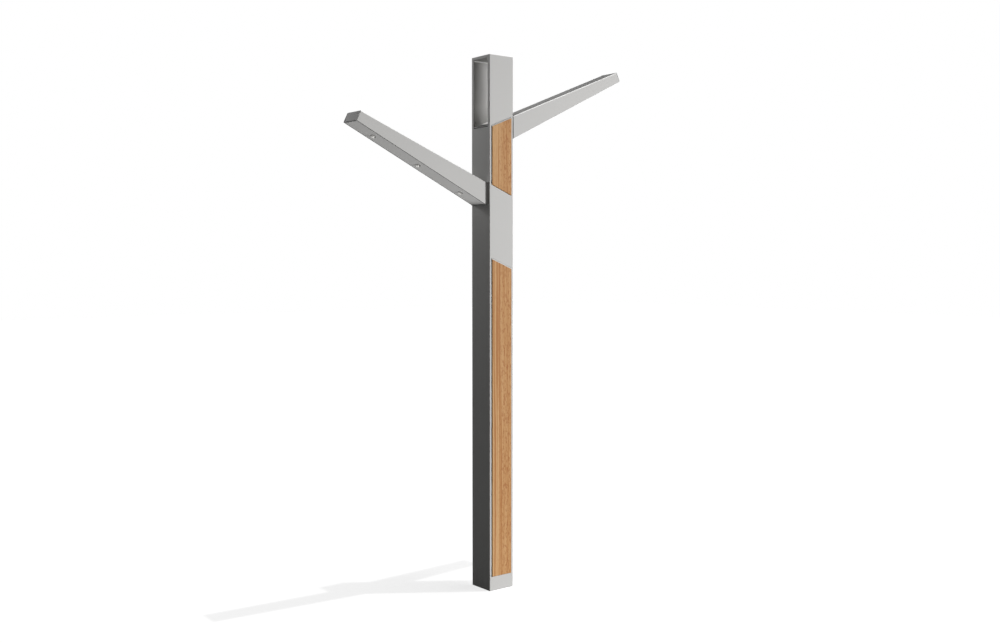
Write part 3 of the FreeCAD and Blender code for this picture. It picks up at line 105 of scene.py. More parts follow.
def bumped(tree, height, strength, depth, normal=None):
    inputs = {"Height": height, "Strength": strength, "Distance": depth}
    if normal is not None:
        inputs["Normal"] = normal
    return add(tree, "ShaderNodeBump", inputs).outputs["Normal"]


def softEdges(tree, radius):
    return add(tree, "ShaderNodeBevel", {"Radius": radius}, samples=6).outputs["Normal"]


def tinted(tint, gain, lift=0.0):
    return tuple(part * gain + lift for part in tint)


coat = {
    "tint": (0.565, 0.560, 0.548),
    "pale": 1.02,
    "deep": 0.97,
    "driftScale": 3.5,
    "driftRange": (0.3, 0.7),
    "flakeScale": 1400.0,
    "flakeRange": (0.35, 0.65),
    "flakeGain": (0.97, 1.02),
    "peelScale": 260.0,
    "peelRelief": 0.03,
    "peelDepth": 0.0001,
    "gloss": 0.21,
    "roughness": (0.47, 0.54),
    # the pale edge colour is a painted highlight on rubbed edges; the dark one below it is painted shade
    "wornAndSheen": (0.86, 0.86, 0.85),
    "wornAndSheenShare": 0.9,
    "stainAndShade": (0.12, 0.115, 0.11),
    "paintedShadeShare": 0.8,
    "edgeTilt": (0.10, 0.30),
    "cornerTilt": (-0.20, -0.40),
}

# painted shade on the strip beside the left arm's root: along each axis, where the painted shade starts and
# where it is full
paintedCornerShade = {
    "share": 0.90,
    "limits": (("X", -0.0743, -0.0750), ("Y", -0.047, -0.056), ("Y", -0.0745, -0.065),
               ("Z", 1.974, 1.980), ("Z", 2.092, 2.086)),
}


# rounded edges tell themselves by how they face: up and out, where hands and rain rub the coat to bare
# metal, they are also painted paler as a painted highlight;
# down and out, and round the right front corner, they are painted darker as painted shade
def edgeSheenAndShade(tree):
    facing = add(tree, "ShaderNodeNewGeometry").outputs["Normal"]
    side = add(tree, "ShaderNodeSeparateXYZ", {0: facing}).outputs
    outward = combine(tree, "ABSOLUTE", side["Y"])
    tilt = combine(tree, "MULTIPLY", outward, side["Z"])
    start, full = coat["edgeTilt"]
    # edges facing up and out: rubbed coat, also painted paler as a painted highlight
    wornAndSheen = spread(tree, tilt, start, full, 0.0, 1.0)
    # edges facing down and out: painted shade
    paintedUnderShade = spread(tree, tilt, -start, -full, 0.0, 1.0)
    # the right front corner: painted shade
    corner = spread(tree, combine(tree, "MULTIPLY", side["X"], side["Y"]), *coat["cornerTilt"], 0.0, 1.0)
    return wornAndSheen, combine(tree, "MAXIMUM", paintedUnderShade, corner)


# painted shade in the corner between the left arm's front and the post
def paintedCornerShadeMask(tree, place):
    part = add(tree, "ShaderNodeSeparateXYZ", {0: place}).outputs
    amount = paintedCornerShade["share"]
    for axis, start, full in paintedCornerShade["limits"]:
        amount = combine(tree, "MULTIPLY", amount, spread(tree, part[axis], start, full, 0.0, 1.0))
    return amount


# silver-grey powder coat: fine flake and orange peel, its up-facing edges rubbed to bare metal with a
# painted highlight, painted shade on its down-facing edges and beside the left arm's root
def makeCoat():
    material, tree, shader, place = startMaterial("silverPowderCoat")
    drift = noise(tree, place, coat["driftScale"], 4.0)
    flake = noise(tree, place, coat["flakeScale"], 1.0)
    tint = coat["tint"]
    colour = blendColour(tree, drift, tinted(tint, coat["deep"]), tinted(tint, coat["pale"]))
    speck = spread(tree, flake, *coat["flakeRange"], *coat["flakeGain"])
    gain = add(tree, "ShaderNodeCombineColor", {0: speck, 1: speck, 2: speck}).outputs[0]
    colour = blendColour(tree, 1.0, colour, gain, "MULTIPLY")
    wornAndSheen, stainAndShade = edgeSheenAndShade(tree)
    # paler up-facing edges: painted highlight over rubbed coat
    colour = blendColour(tree, combine(tree, "MULTIPLY", wornAndSheen, coat["wornAndSheenShare"]), colour, coat["wornAndSheen"])
    # darker down-facing edges and corner: painted shade
    colour = blendColour(tree, combine(tree, "MULTIPLY", stainAndShade, coat["paintedShadeShare"]), colour,
                         coat["stainAndShade"])
    # darker strip beside the left arm's root: painted shade
    colour = blendColour(tree, paintedCornerShadeMask(tree, place), colour, coat["stainAndShade"])
    tree.links.new(colour, shader.inputs["Base Color"])
    tree.links.new(wornAndSheen, shader.inputs["Metallic"])
    gloss = spread(tree, drift, *coat["driftRange"], *coat["roughness"])
    tree.links.new(gloss, shader.inputs["Roughness"])
    peel = noise(tree, place, coat["peelScale"], 2.0)
    tree.links.new(bumped(tree, peel, coat["peelRelief"], coat["peelDepth"]), shader.inputs["Normal"])
    shader.inputs["Specular IOR Level"].default_value = coat["gloss"]
    return material


wood = {
    "pale": (0.620, 0.385, 0.190),
    "middle": (0.530, 0.292, 0.125),
    "deep": (0.440, 0.205, 0.076),
    "line": (0.390, 0.160, 0.058),
    "red": (0.325, 0.112, 0.042),
    "wander": {"stretch": (1.0, 1.0, 0.35), "scale": 5.0, "detail": 2.0, "roughness": 0.5},
    "wanderBy": 0.005,
    "broad": {"stretch": (1.0, 0.3, 0.005), "scale": 105.0, "detail": 1.0, "roughness": 0.5},
    "broadStops": ((0.41, "line"), (0.455, "middle"), (0.52, "pale"), (0.66, "pale")),
    "close": {"stretch": (1.0, 0.3, 0.02), "scale": 134.4, "detail": 3.0, "roughness": 0.6},
    "closeStops": ((0.36, "deep"), (0.50, "middle"), (0.72, "pale")),
    "closeAcross": (-0.016, 0.006),
    "closeShare": 0.75,
    "dash": {"stretch": (1.0, 1.0, 0.30), "scale": 170.0, "detail": 2.0, "roughness": 0.6},
    "dashRange": (0.52, 0.62),
    "dashAcross": (-0.030, 0.010),
    "dashShares": (0.15, 0.75),
    "fibre": {"stretch": (1.0, 1.0, 0.03), "scale": 420.0, "detail": 3.0, "roughness": 0.6},
    "fibreDark": (0.35, 0.65),
    "fibreDarkShare": 0.35,
    "fibrePale": (0.50, 0.75),
    "fibrePaleShare": 0.45,
    "pore": {"stretch": (1.0, 1.0, 0.05), "scale": 900.0, "detail": 2.0, "roughness": 0.5},
    "poreRange": (0.62, 0.70),
    "poreShare": 0.65,
    "glossRange": (0.3, 0.7),
    "roughness": (0.48, 0.62),
    "gloss": 0.12,
    "relief": 0.25,
    "depth": 0.0004,
}


def woodGrain(tree, place, kind):
    look = wood[kind]
    drawn = scaled(tree, place, look["stretch"])
    return noise(tree, drawn, look["scale"], look["detail"], look["roughness"])


def woodRings(tree, value, stops):
    return ramp(tree, value, [(position, wood[tone]) for position, tone in stops])


# oiled hardwood, all along Z: broad year rings on the left part of each board, closer ones and more
# of the short reddish dashes on the right, fine fibres and dark pores
def makeWood():
    material, tree, shader, place = startMaterial("oiledOak")
    wander = woodGrain(tree, place, "wander")
    shift = spread(tree, wander, 0.0, 1.0, -wood["wanderBy"], wood["wanderBy"])
    offset = add(tree, "ShaderNodeCombineXYZ", {"X": shift}).outputs[0]
    moved = add(tree, "ShaderNodeVectorMath", {0: place, 1: offset}, operation="ADD").outputs[0]
    across = add(tree, "ShaderNodeSeparateXYZ", {0: place}).outputs["X"]
    broadRings = woodRings(tree, woodGrain(tree, moved, "broad"), wood["broadStops"])
    closeRings = woodRings(tree, woodGrain(tree, moved, "close"), wood["closeStops"])
    rightPart = spread(tree, across, *wood["closeAcross"], 0.0, wood["closeShare"])
    colour = blendColour(tree, rightPart, broadRings, closeRings)
    dashes = spread(tree, woodGrain(tree, moved, "dash"), *wood["dashRange"], 0.0, 1.0)
    dashShare = spread(tree, across, *wood["dashAcross"], *wood["dashShares"])
    colour = blendColour(tree, combine(tree, "MULTIPLY", dashes, dashShare), colour, wood["red"])
    fibre = woodGrain(tree, moved, "fibre")
    darker = spread(tree, fibre, *wood["fibreDark"], wood["fibreDarkShare"], 0.0)
    colour = blendColour(tree, darker, colour, wood["deep"])
    paler = spread(tree, fibre, *wood["fibrePale"], 0.0, wood["fibrePaleShare"])
    colour = blendColour(tree, paler, colour, wood["pale"])
    darkPore = spread(tree, woodGrain(tree, moved, "pore"), *wood["poreRange"], 0.0, wood["poreShare"])
    colour = blendColour(tree, darkPore, colour, wood["deep"])
    tree.links.new(colour, shader.inputs["Base Color"])
    tree.links.new(spread(tree, fibre, *wood["glossRange"], *wood["roughness"]), shader.inputs["Roughness"])
    height = combine(tree, "SUBTRACT", fibre, darkPore)
    tree.links.new(bumped(tree, height, wood["relief"], wood["depth"]), shader.inputs["Normal"])
    shader.inputs["Specular IOR Level"].default_value = wood["gloss"]
    return material


metals = {
    "stainless": {"name": "brushedStainless", "tint": (0.66, 0.65, 0.63), "roughness": 0.26,
                  "stretch": (1.0, 1.0, 0.04), "grainScale": 900.0, "relief": 0.10},
    "chrome": {"name": "polishedChrome", "tint": (0.80, 0.80, 0.81), "roughness": 0.10,
               "stretch": (1.0, 1.0, 1.0), "grainScale": 60.0, "relief": 0.01},
    "brass": {"name": "castBrass", "tint": (0.70, 0.50, 0.22), "roughness": 0.34,
              "stretch": (1.0, 1.0, 1.0), "grainScale": 500.0, "relief": 0.22},
}
metalAge = {"dull": 0.80, "stainScale": 14.0, "stainRange": (0.35, 0.7), "stainShare": 0.6,
            "grainRange": (0.3, 0.7), "smoother": 0.8, "rougher": 1.25, "depth": 0.0003, "edge": 0.0004}


# one recipe for the bare metals: brushed or cast relief over a tint with slow stains
def makeMetal(look):
    material, tree, shader, place = startMaterial(look["name"])
    grain = noise(tree, scaled(tree, place, look["stretch"]), look["grainScale"], 3.0, 0.6)
    stain = noise(tree, place, metalAge["stainScale"], 4.0)
    stainAndShade = spread(tree, stain, *metalAge["stainRange"], 0.0, metalAge["stainShare"])
    colour = blendColour(tree, stainAndShade, look["tint"], tinted(look["tint"], metalAge["dull"]))
    tree.links.new(colour, shader.inputs["Base Color"])
    gloss = spread(tree, grain, *metalAge["grainRange"], look["roughness"] * metalAge["smoother"],
                   look["roughness"] * metalAge["rougher"])
    tree.links.new(gloss, shader.inputs["Roughness"])
    normal = bumped(tree, grain, look["relief"], metalAge["depth"], softEdges(tree, metalAge["edge"]))
    tree.links.new(normal, shader.inputs["Normal"])
    shader.inputs["Metallic"].default_value = 1.0
    return material


zinc = {"cellScale": 130.0, "dark": (0.36, 0.38, 0.40), "light": (0.55, 0.57, 0.59), "metal": 0.85,
        "roughness": (0.38, 0.55), "relief": 0.08, "depth": 0.0004, "edge": 0.0005}


# galvanised sheet: spangle cells over a dull zinc grey
def makeZinc():
    material, tree, shader, place = startMaterial("galvanisedSteel")
    cells = add(tree, "ShaderNodeTexVoronoi", {"Vector": place, "Scale": zinc["cellScale"]})
    shade = add(tree, "ShaderNodeSeparateColor", {0: cells.outputs["Color"]}).outputs[0]
    colour = ramp(tree, shade, [(0.0, zinc["dark"]), (1.0, zinc["light"])])
    tree.links.new(colour, shader.inputs["Base Color"])
    tree.links.new(spread(tree, shade, 0.0, 1.0, *zinc["roughness"]), shader.inputs["Roughness"])
    normal = bumped(tree, cells.outputs["Distance"], zinc["relief"], zinc["depth"],
                    softEdges(tree, zinc["edge"]))
    tree.links.new(normal, shader.inputs["Normal"])
    shader.inputs["Metallic"].default_value = zinc["metal"]
    return material


plastics = {
    "black_plastic": {"name": "blackNylon", "tint": (0.028, 0.028, 0.032), "roughness": 0.45,
                      "grainScale": 1500.0, "relief": 0.12},
    "grip_plastic": {"name": "blueDippedGrip", "tint": (0.030, 0.110, 0.420), "roughness": 0.28,
                     "grainScale": 600.0, "relief": 0.10},
    "rubber": {"name": "blackRubber", "tint": (0.022, 0.022, 0.022), "roughness": 0.70,
               "grainScale": 1100.0, "relief": 0.20},
    "seal": {"name": "darkSealant", "tint": (0.050, 0.050, 0.049), "roughness": 0.60,
             "grainScale": 900.0, "relief": 0.10},
    "paleSeal": {"name": "paleSealant", "tint": (0.78, 0.78, 0.76), "roughness": 0.55,
                 "grainScale": 900.0, "relief": 0.10},
    "bed": {"name": "greySealant", "tint": (0.66, 0.65, 0.63), "roughness": 0.60,
            "grainScale": 900.0, "relief": 0.10},
    "weld": {"name": "coatedWeld", "tint": (0.160, 0.158, 0.154), "roughness": 0.55,
             "grainScale": 1200.0, "relief": 0.30},
}
plasticAge = {"driftScale": 9.0, "driftRange": (0.3, 0.7), "paleGain": 1.25, "paleLift": 0.004,
              "smoother": 0.05, "rougher": 0.06, "depth": 0.0003, "edge": 0.0005}


# moulded plastic, rubber, sealant and painted weld: fine grain in relief and gloss
def makePlastic(look):
    material, tree, shader, place = startMaterial(look["name"])
    grain = noise(tree, place, look["grainScale"], 2.0)
    drift = noise(tree, place, plasticAge["driftScale"], 3.0)
    pale = tinted(look["tint"], plasticAge["paleGain"], plasticAge["paleLift"])
    faded = spread(tree, drift, *plasticAge["driftRange"], 0.0, 1.0)
    tree.links.new(blendColour(tree, faded, look["tint"], pale), shader.inputs["Base Color"])
    gloss = spread(tree, grain, *plasticAge["driftRange"], look["roughness"] - plasticAge["smoother"],
                   look["roughness"] + plasticAge["rougher"])
    tree.links.new(gloss, shader.inputs["Roughness"])
    normal = bumped(tree, grain, look["relief"], plasticAge["depth"], softEdges(tree, plasticAge["edge"]))
    tree.links.new(normal, shader.inputs["Normal"])
    return material


finishes = {"coat": makeCoat(), "wood": makeWood(), "zinc": makeZinc()}
finishes.update((name, makeMetal(look)) for name, look in metals.items())
finishes.update((name, makePlastic(look)) for name, look in plastics.items())
for part in frame["record"]["subparts"]:
    mesh = nodes[part["node"]].data
    mesh.materials.clear()
    mesh.materials.append(finishes[part["material_slot"]])
print("finishes set:", ", ".join(finishes))

millimetre = 0.001
pitch = math.tan(math.radians(22.0))  # the arms' tops, the sill and the boards' ends all climb by this
twoSides = ((-1, "left"), (1, "right"))
arm = {"reach": 732.0, "lean": math.radians(25.0), "tip": 50.0, "root": 113.0, "width": 120.0,
       "heights": {-1: 2090.0, 1: 2428.0}, "aside": 15.0, "face": 75.0}


# a point written in the post's millimetres, in metres
def inMetres(spot):
    return tuple(part * millimetre for part in spot)


# a point of an arm, given out along it, across it and up from its root's top
def armPoint(side, out, across, up):
    return inMetres((side * (arm["face"] + out), side * (across - arm["aside"]), arm["heights"][side] + up))


# length of an arm's underside and its direction, out and up
def underside():
    drop = arm["reach"] * pitch - arm["tip"] * math.cos(arm["lean"]) + arm["root"]
    run = arm["reach"] + arm["tip"] * math.sin(arm["lean"])
    length = math.hypot(run, drop)
    return length, run / length, drop / length


# a node tree with named inputs and one mesh coming out
def startTree(name, labels, result):
    tree = bpy.data.node_groups.new(name, "GeometryNodeTree")
    for label, kind in labels.items():
        tree.interface.new_socket(label, in_out="INPUT", socket_type="NodeSocket" + kind)
    tree.interface.new_socket(result, in_out="OUTPUT", socket_type="NodeSocketGeometry")
    return tree, add(tree, "NodeGroupInput").outputs


def endTree(tree, shape, finish):
    real = add(tree, "GeometryNodeRealizeInstances", {0: shape}).outputs[0]
    finished = add(tree, "GeometryNodeSetMaterial", {0: real, "Material": finish}).outputs[0]
    add(tree, "NodeGroupOutput", {0: finished})
    return tree


cornerSteps = 3  # straight steps round each eased corner of a bead


# nodes that lay a round bead along mesh edges, with its corners eased
def makeBeadNodes():
    tree, given = startTree("beadAlongPath", {"Paths": "Geometry", "Radius": "Float", "Corner": "Float",
                                              "Sides": "Int", "Finish": "Material"}, "Bead")
    line = add(tree, "GeometryNodeMeshToCurve", {"Mesh": given["Paths"]}).outputs["Curve"]
    rounding = {"Curve": line, "Radius": given["Corner"], "Count": cornerSteps}
    eased = add(tree, "GeometryNodeFilletCurve", rounding, mode="POLY").outputs["Curve"]
    ring = add(tree, "GeometryNodeCurvePrimitiveCircle",
               {"Resolution": given["Sides"], "Radius": given["Radius"]}).outputs["Curve"]
    tube = add(tree, "GeometryNodeCurveToMesh", {"Curve": eased, "Profile Curve": ring, "Fill Caps": True})
    smooth = add(tree, "GeometryNodeSetShadeSmooth", {0: tube.outputs["Mesh"]}).outputs[0]
    return endTree(tree, smooth, given["Finish"])


# a screw head grows in steps: share of its height, and what is left of the width; the last is the socket
headSides = 18
headSteps = ((0.55, 1.0), (0.35, 0.80), (0.10, 0.75), (0.0, 0.72), (-0.60, 0.90))


# nodes that set a socket screw on each vertex, all facing one way
def makeScrewNodes():
    tree, given = startTree("screwsOnPoints", {"Places": "Geometry", "Radius": "Float", "Height": "Float",
                                               "Facing": "Vector", "Finish": "Material"}, "Screws")
    foot = add(tree, "GeometryNodeMeshCircle", {"Vertices": headSides, "Radius": given["Radius"]},
               fill_type="NGON").outputs["Mesh"]
    grown, top = foot, True
    for lift, narrow in headSteps:
        rise = combine(tree, "MULTIPLY", given["Height"], lift)
        step = add(tree, "GeometryNodeExtrudeMesh", {"Mesh": grown, "Selection": top, "Offset Scale": rise,
                                                     "Individual": False})
        top = step.outputs["Top"]
        grown = add(tree, "GeometryNodeScaleElements", {"Geometry": step.outputs["Mesh"], "Selection": top,
                                                        "Scale": narrow}).outputs[0]
    turn = add(tree, "FunctionNodeAlignRotationToVector", {"Vector": given["Facing"]}, axis="Z").outputs[0]
    stand = add(tree, "GeometryNodeInstanceOnPoints", {"Points": given["Places"], "Instance": grown,
                                                       "Rotation": turn}).outputs[0]
    return endTree(tree, stand, given["Finish"])


beadNodes = makeBeadNodes()
screwNodes = makeScrewNodes()
added = []


# runs a node tree over a base mesh and keeps the result as a plain piece that rides on a body
def grow(name, base, tree, values, body):
    holder = bpy.data.objects.new(name, base)
    bpy.context.scene.collection.objects.link(holder)
    modifier = holder.modifiers.new("grow", "NODES")
    modifier.node_group = tree
    for item in tree.interface.items_tree:
        if item.in_out == "INPUT" and item.name in values:
            modifier[item.identifier] = values[item.name]
    solid = bpy.data.meshes.new_from_object(holder.evaluated_get(bpy.context.evaluated_depsgraph_get()))
    holder.modifiers.clear()
    holder.data = solid
    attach(holder, body)
    added.append(holder)


# an edge mesh from lists of corners; a closed path ends where it began
def pathMesh(name, paths, closed):
    corners, edges = [], []
    for points in paths:
        first = len(corners)
        corners += points
        edges += [(spot, spot + 1) for spot in range(first, len(corners) - 1)]
        if closed:
            edges.append((len(corners) - 1, first))
    mesh = bpy.data.meshes.new(name)
    mesh.from_pydata(corners, edges, [])
    return mesh


def layBead(name, paths, look, closed=False):
    values = {"Radius": look["radius"], "Corner": look["corner"], "Sides": look["sides"],
              "Finish": finishes[look["finish"]]}
    grow(name, pathMesh(name, paths, closed), beadNodes, values, "post")


def setScrews(name, spots, look, facing, body="post"):
    base = bpy.data.meshes.new(name)
    base.from_pydata(spots, [], [])
    values = {"Radius": look["radius"], "Height": look["height"], "Facing": facing,
              "Finish": finishes[look["slot"]]}
    grow(name, base, screwNodes, values, body)


coverSeal = {"radius": 0.0023, "corner": 0.004, "sides": 8, "slot": "rubber", "finish": "seal",
             "inset": 3.7, "sunk": 0.9, "start": 4.0}


# dark sealant in the joint between each arm's folded sheet and the cover below it
def makeCoverSeals():
    length, along, up = underside()
    reach = arm["width"] / 2 - coverSeal["inset"]
    start, end, sunk = coverSeal["start"], length - coverSeal["inset"], coverSeal["sunk"]
    for side, label in twoSides:
        spots = [armPoint(side, out * along - sunk * up, across, out * up + sunk * along - arm["root"])
                 for out, across in ((start, reach), (end, reach), (end, -reach), (start, -reach))]
        layBead(label + "CoverSeal", [spots], coverSeal)


rootSeal = {"radius": 0.0030, "corner": 0.002, "sides": 8, "slot": "rubber", "finish": "seal",
            "inset": 1.2, "out": 1.6}


# dark sealant round the root of each arm, where it meets the post
def makeRootSeals():
    reach = arm["width"] / 2 - rootSeal["inset"]
    top, low = -rootSeal["inset"], rootSeal["inset"] - arm["root"]
    for side, label in twoSides:
        spots = [armPoint(side, rootSeal["out"], across, level)
                 for across, level in ((reach, top), (-reach, top), (-reach, low), (reach, low))]
        layBead(label + "RootSeal", [spots], rootSeal, closed=True)


insert = {"radius": 0.0033, "height": 0.0016, "slot": "black_plastic", "count": 3, "spacing": 283.0,
          "shift": 4.0, "depth": 7.4}


# black swirl inserts in the mouths of the nozzles
def makeInserts():
    length, along, up = underside()
    first = (length - insert["spacing"] * (insert["count"] - 1)) / 2 - insert["shift"]
    depth = insert["depth"]
    for side, label in twoSides:
        outs = [first + turn * insert["spacing"] for turn in range(insert["count"])]
        spots = [armPoint(side, out * along + depth * up, 0.0, out * up - depth * along - arm["root"])
                 for out in outs]
        setScrews(label + "Inserts", spots, insert, (side * up, 0.0, -along))


tipWeld = {"radius": 0.0017, "corner": 0.002, "sides": 8, "slot": "coat", "finish": "weld", "inset": 1.0}


# the weld round the plate that closes each arm's tip
def makeTipWelds():
    inset, reach = tipWeld["inset"], arm["width"] / 2 - tipWeld["inset"]
    top = arm["reach"] * pitch - inset
    foot = arm["reach"] * pitch - arm["tip"] * math.cos(arm["lean"]) + inset
    run = arm["reach"] - inset
    end = run + arm["tip"] * math.sin(arm["lean"])
    for side, label in twoSides:
        spots = [armPoint(side, *spot) for spot in ((run, reach, top), (run, -reach, top),
                                                    (end, -reach, foot), (end, reach, foot))]
        layBead(label + "TipWeld", [spots], tipWeld, closed=True)


windowSeal = {"radius": 0.0034, "corner": 0.002, "sides": 10, "slot": "rubber", "finish": "paleSeal",
              "reach": 69.0, "edges": ((2710.0, 0.0), (2396.4, pitch))}


# pale sealant where the window's ceiling and sill meet the front and back walls
def makeWindowSeals():
    reach = windowSeal["reach"]
    paths = [[inMetres((out, across, level + out * climb)) for out in (-reach, reach)]
             for across in (-reach, reach)
             for level, climb in windowSeal["edges"]]
    layBead("windowSeal", paths, windowSeal)


sillSeal = {"radius": 0.0030, "corner": 0.001, "sides": 8, "slot": "rubber", "finish": "seal",
            "out": -71.5, "reach": 57.0, "level": 2397.7}


# dark sealant along the sill's lower end
def makeSillSeal():
    level = sillSeal["level"] + sillSeal["out"] * pitch
    ends = [inMetres((sillSeal["out"], across, level)) for across in (-sillSeal["reach"], sillSeal["reach"])]
    layBead("sillSeal", [ends], sillSeal)


boardBed = {"radius": 0.0026, "corner": 0.001, "sides": 8, "slot": "coat", "finish": "bed",
            "reach": 63.0, "face": -76.6, "tops": ((2393.05, pitch), (1676.35, -pitch))}


# the upper ends of the boards are bedded in grey sealant, so that no rain runs in behind them
def makeBoardBeds():
    reach = boardBed["reach"]
    paths = [[inMetres((out, boardBed["face"], level + out * climb)) for out in (-reach, reach)]
             for level, climb in boardBed["tops"]]
    layBead("boardBed", paths, boardBed)


hingeScrew = {"radius": 0.0026, "height": 0.0016, "slot": "stainless", "face": 77.0,
              "hinges": (370.0, 680.0), "spread": 10.0, "pin": 47.0, "offset": 13.2}


# two socket screws through each hinge leaf, on the post and on the door
def makeHingeScrews():
    lifts = (-hingeScrew["spread"], hingeScrew["spread"])
    for body, turn in (("post", 1), ("door", -1)):
        across = hingeScrew["pin"] + turn * hingeScrew["offset"]
        spots = [inMetres((across, hingeScrew["face"], middle + lift))
                 for middle in hingeScrew["hinges"]
                 for lift in lifts]
        setScrews(body + "HingeScrews", spots, hingeScrew, (0.0, 1.0, 0.0), body)


makeCoverSeals()
makeRootSeals()
makeInserts()
makeTipWelds()
makeWindowSeals()
makeSillSeal()
makeBoardBeds()
makeHingeScrews()
print("added", len(added), "pieces of seal, weld and screw")

white = (1.0, 1.0, 1.0, 1.0)
stageLook = {"reach": 30.0, "glow": 0.79, "albedo": 0.80, "bounce": 0.13, "sky": 0.0}


# true for rays that should meet a white studio: from the camera, a gloss or through glass
def seenDirectly(tree):
    path = add(tree, "ShaderNodeLightPath").outputs
    seen = combine(tree, "MAXIMUM", path["Is Camera Ray"], path["Is Glossy Ray"])
    return combine(tree, "MAXIMUM", seen, path["Is Transmission Ray"])


# a wide pale floor that glows white where it is seen and keeps the shadow
def makeFloor():
    reach = stageLook["reach"]
    corners = [(-reach, -reach, 0), (reach, -reach, 0), (reach, reach, 0), (-reach, reach, 0)]
    mesh = bpy.data.meshes.new("floor")
    mesh.from_pydata(corners, [], [(0, 1, 2, 3)])
    ground = bpy.data.objects.new("floor", mesh)
    bpy.context.scene.collection.objects.link(ground)
    material = bpy.data.materials.new("paleFloor")
    material.use_nodes = True
    tree = material.node_tree
    tree.nodes.remove(tree.nodes["Principled BSDF"])
    glow = add(tree, "ShaderNodeEmission", {"Color": white, "Strength": stageLook["glow"]})
    matt = add(tree, "ShaderNodeBsdfDiffuse", {"Color": (*[stageLook["albedo"]] * 3, 1)})
    both = add(tree, "ShaderNodeAddShader", {0: glow.outputs[0], 1: matt.outputs[0]})
    dim = add(tree, "ShaderNodeBsdfDiffuse", {"Color": (*[stageLook["bounce"]] * 3, 1)})
    mixed = add(tree, "ShaderNodeMixShader", {0: seenDirectly(tree), 1: dim.outputs[0], 2: both.outputs[0]})
    tree.links.new(mixed.outputs[0], tree.nodes["Material Output"].inputs["Surface"])
    mesh.materials.append(material)
    return ground


def makeWorld():
    world = bpy.data.worlds.new("studio")
    bpy.context.scene.world = world
    world.use_nodes = True
    tree = world.node_tree
    sky = tree.nodes["Background"]
    sky.inputs["Color"].default_value = white
    sky.inputs["Strength"].default_value = stageLook["sky"]
    shown = add(tree, "ShaderNodeBackground", {"Color": white, "Strength": 1.0})
    mixed = add(tree, "ShaderNodeMixShader", {0: seenDirectly(tree), 1: sky.outputs[0], 2: shown.outputs[0]})
    tree.links.new(mixed.outputs[0], tree.nodes["World Output"].inputs["Surface"])


# on names the things that a lamp lights, and highlight says whether it shows in their gloss
lamps = {
    "key": {"on": "rest", "place": (2.85, -4.5, 2.5), "aim": (0.0, 0.0, 1.8), "size": 3.4, "power": 221.0,
            "highlight": True},
    "armFront": {"on": "leftArm", "place": (0.4, -5.0, 0.6), "aim": (0.0, 0.0, 1.8), "size": 1.2,
                 "power": 176.0, "highlight": True},
    "bounce": {"on": "all", "place": (0.6, -3.6, -3.6), "aim": (0.0, 0.0, 2.0), "size": 2.0,
               "power": 220.0, "highlight": False},
    "rear": {"on": "all", "place": (-0.75, 1.7, 2.9), "aim": (0.0, 0.0, 2.1), "size": 0.6, "power": 13.0,
             "highlight": True},
    "back": {"on": "all", "place": (2.6, 4.6, 2.2), "aim": (0.0, 0.0, 1.4), "size": 3.0, "power": 220.0,
             "highlight": False},
}
suns = {
    "onFloor": {"on": "floor", "from": (0.24, -0.165, 1.0), "angle": 0.6, "power": 0.53},
    "hazeOnFloor": {"on": "floor", "from": (0.24, -0.165, 1.0), "angle": 22.0, "power": 0.49},
    "onSill": {"on": "sill", "from": (0.275, -0.14, 1.0), "angle": 0.6, "power": 4.5},
    "onSeals": {"on": "windowSeal", "from": (-0.6, -0.8, -0.3), "angle": 0.6, "power": 0.7},
}


# turns a lamp or the camera from its place towards what it looks at
def aimed(thing, place, aim):
    thing.location = place
    thing.rotation_euler = (Vector(aim) - Vector(place)).to_track_quat("-Z", "Y").to_euler()


def gathered(name, things):
    made = bpy.data.collections.new(name)
    for thing in things:
        made.objects.link(thing)
    return made


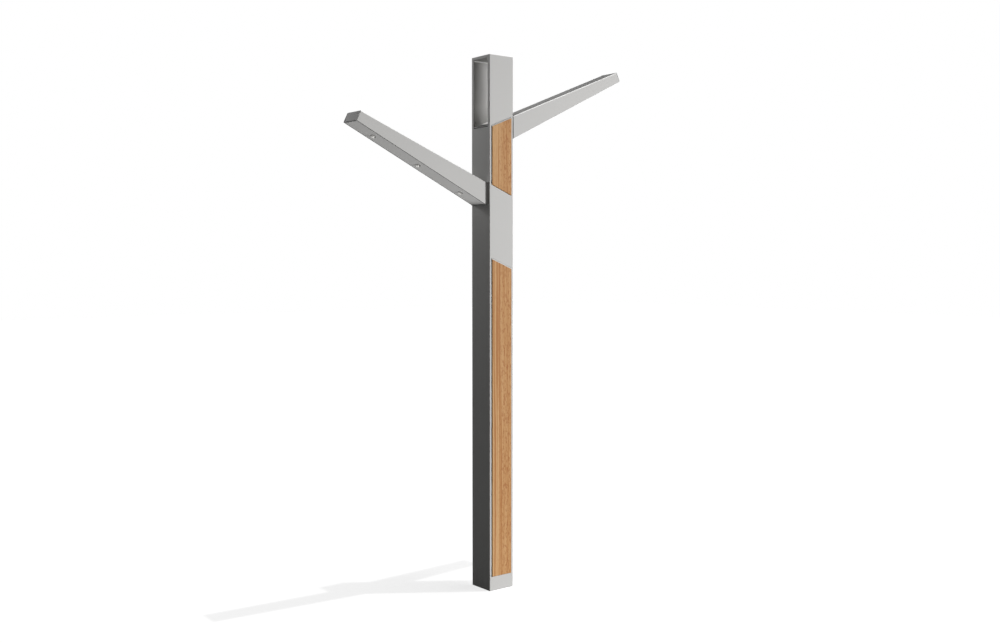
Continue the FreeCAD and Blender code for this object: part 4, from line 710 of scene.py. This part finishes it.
# the left arm and the window's sealant are shaded by themselves alone, the rest by the whole post
def placeLamp(name, light, spec, place, aim, lit):
    shadedBy = spec["on"] if spec["on"] in ("leftArm", "windowSeal") else "all"
    lamp = bpy.data.objects.new(name, light)
    lamp.light_linking.receiver_collection = lit[spec["on"]]
    lamp.light_linking.blocker_collection = lit[shadedBy]
    lamp.visible_glossy = spec.get("highlight", True)
    bpy.context.scene.collection.objects.link(lamp)
    aimed(lamp, place, aim)


# the soft lamps light the post alone, and the one below the floor stands for the light that a pale
# floor throws back; the left arm has its own front lamp, whose light the post doesn't cut off; the
# suns draw the shadow on the floor, a bright patch on the window's sill and a line of light above it
def makeLamps(ground):
    things = list(nodes.values()) + added
    leftArm = [thing for thing in things if thing.name.startswith("left")]
    groups = {"all": things, "leftArm": leftArm, "rest": [thing for thing in things if thing not in leftArm],
              "floor": [ground], "sill": [nodes["window_sill"]],
              "windowSeal": [thing for thing in added if thing.name == "windowSeal"]}
    lit = {name: gathered("litBy_" + name, group) for name, group in groups.items()}
    for name, spec in lamps.items():
        light = bpy.data.lights.new(name, "AREA")
        light.shape = "DISK"
        light.size = spec["size"]
        light.energy = spec["power"]
        placeLamp(name, light, spec, spec["place"], spec["aim"], lit)
    for name, spec in suns.items():
        light = bpy.data.lights.new(name, "SUN")
        light.energy = spec["power"]
        light.angle = math.radians(spec["angle"])
        placeLamp(name, light, spec, spec["from"], (0, 0, 0), lit)


viewpoint = {"turn": 38.2756, "drop": 2.9716, "distance": 5.72847, "height": 1.37978, "aside": 0.0392,
             "lens": 40.0, "sensor": 36.0}


# the camera stands to the front and left, a little above the middle, looking slightly down
def makeCamera():
    turn, drop = math.radians(viewpoint["turn"]), math.radians(viewpoint["drop"])
    right = Vector((math.cos(turn), -math.sin(turn), 0))
    back = Vector((-math.sin(turn) * math.cos(drop), -math.cos(turn) * math.cos(drop), math.sin(drop)))
    aim = Vector((0, 0, viewpoint["height"])) + right * viewpoint["aside"]
    data = bpy.data.cameras.new("camera")
    data.lens = viewpoint["lens"]
    data.sensor_width = viewpoint["sensor"]
    camera = bpy.data.objects.new("camera", data)
    bpy.context.scene.collection.objects.link(camera)
    aimed(camera, aim + back * viewpoint["distance"], aim)
    bpy.context.scene.camera = camera


floor = makeFloor()
makeWorld()
makeLamps(floor)
makeCamera()
bpy.context.scene.view_settings.view_transform = "Standard"
print("stage, light and camera ready")
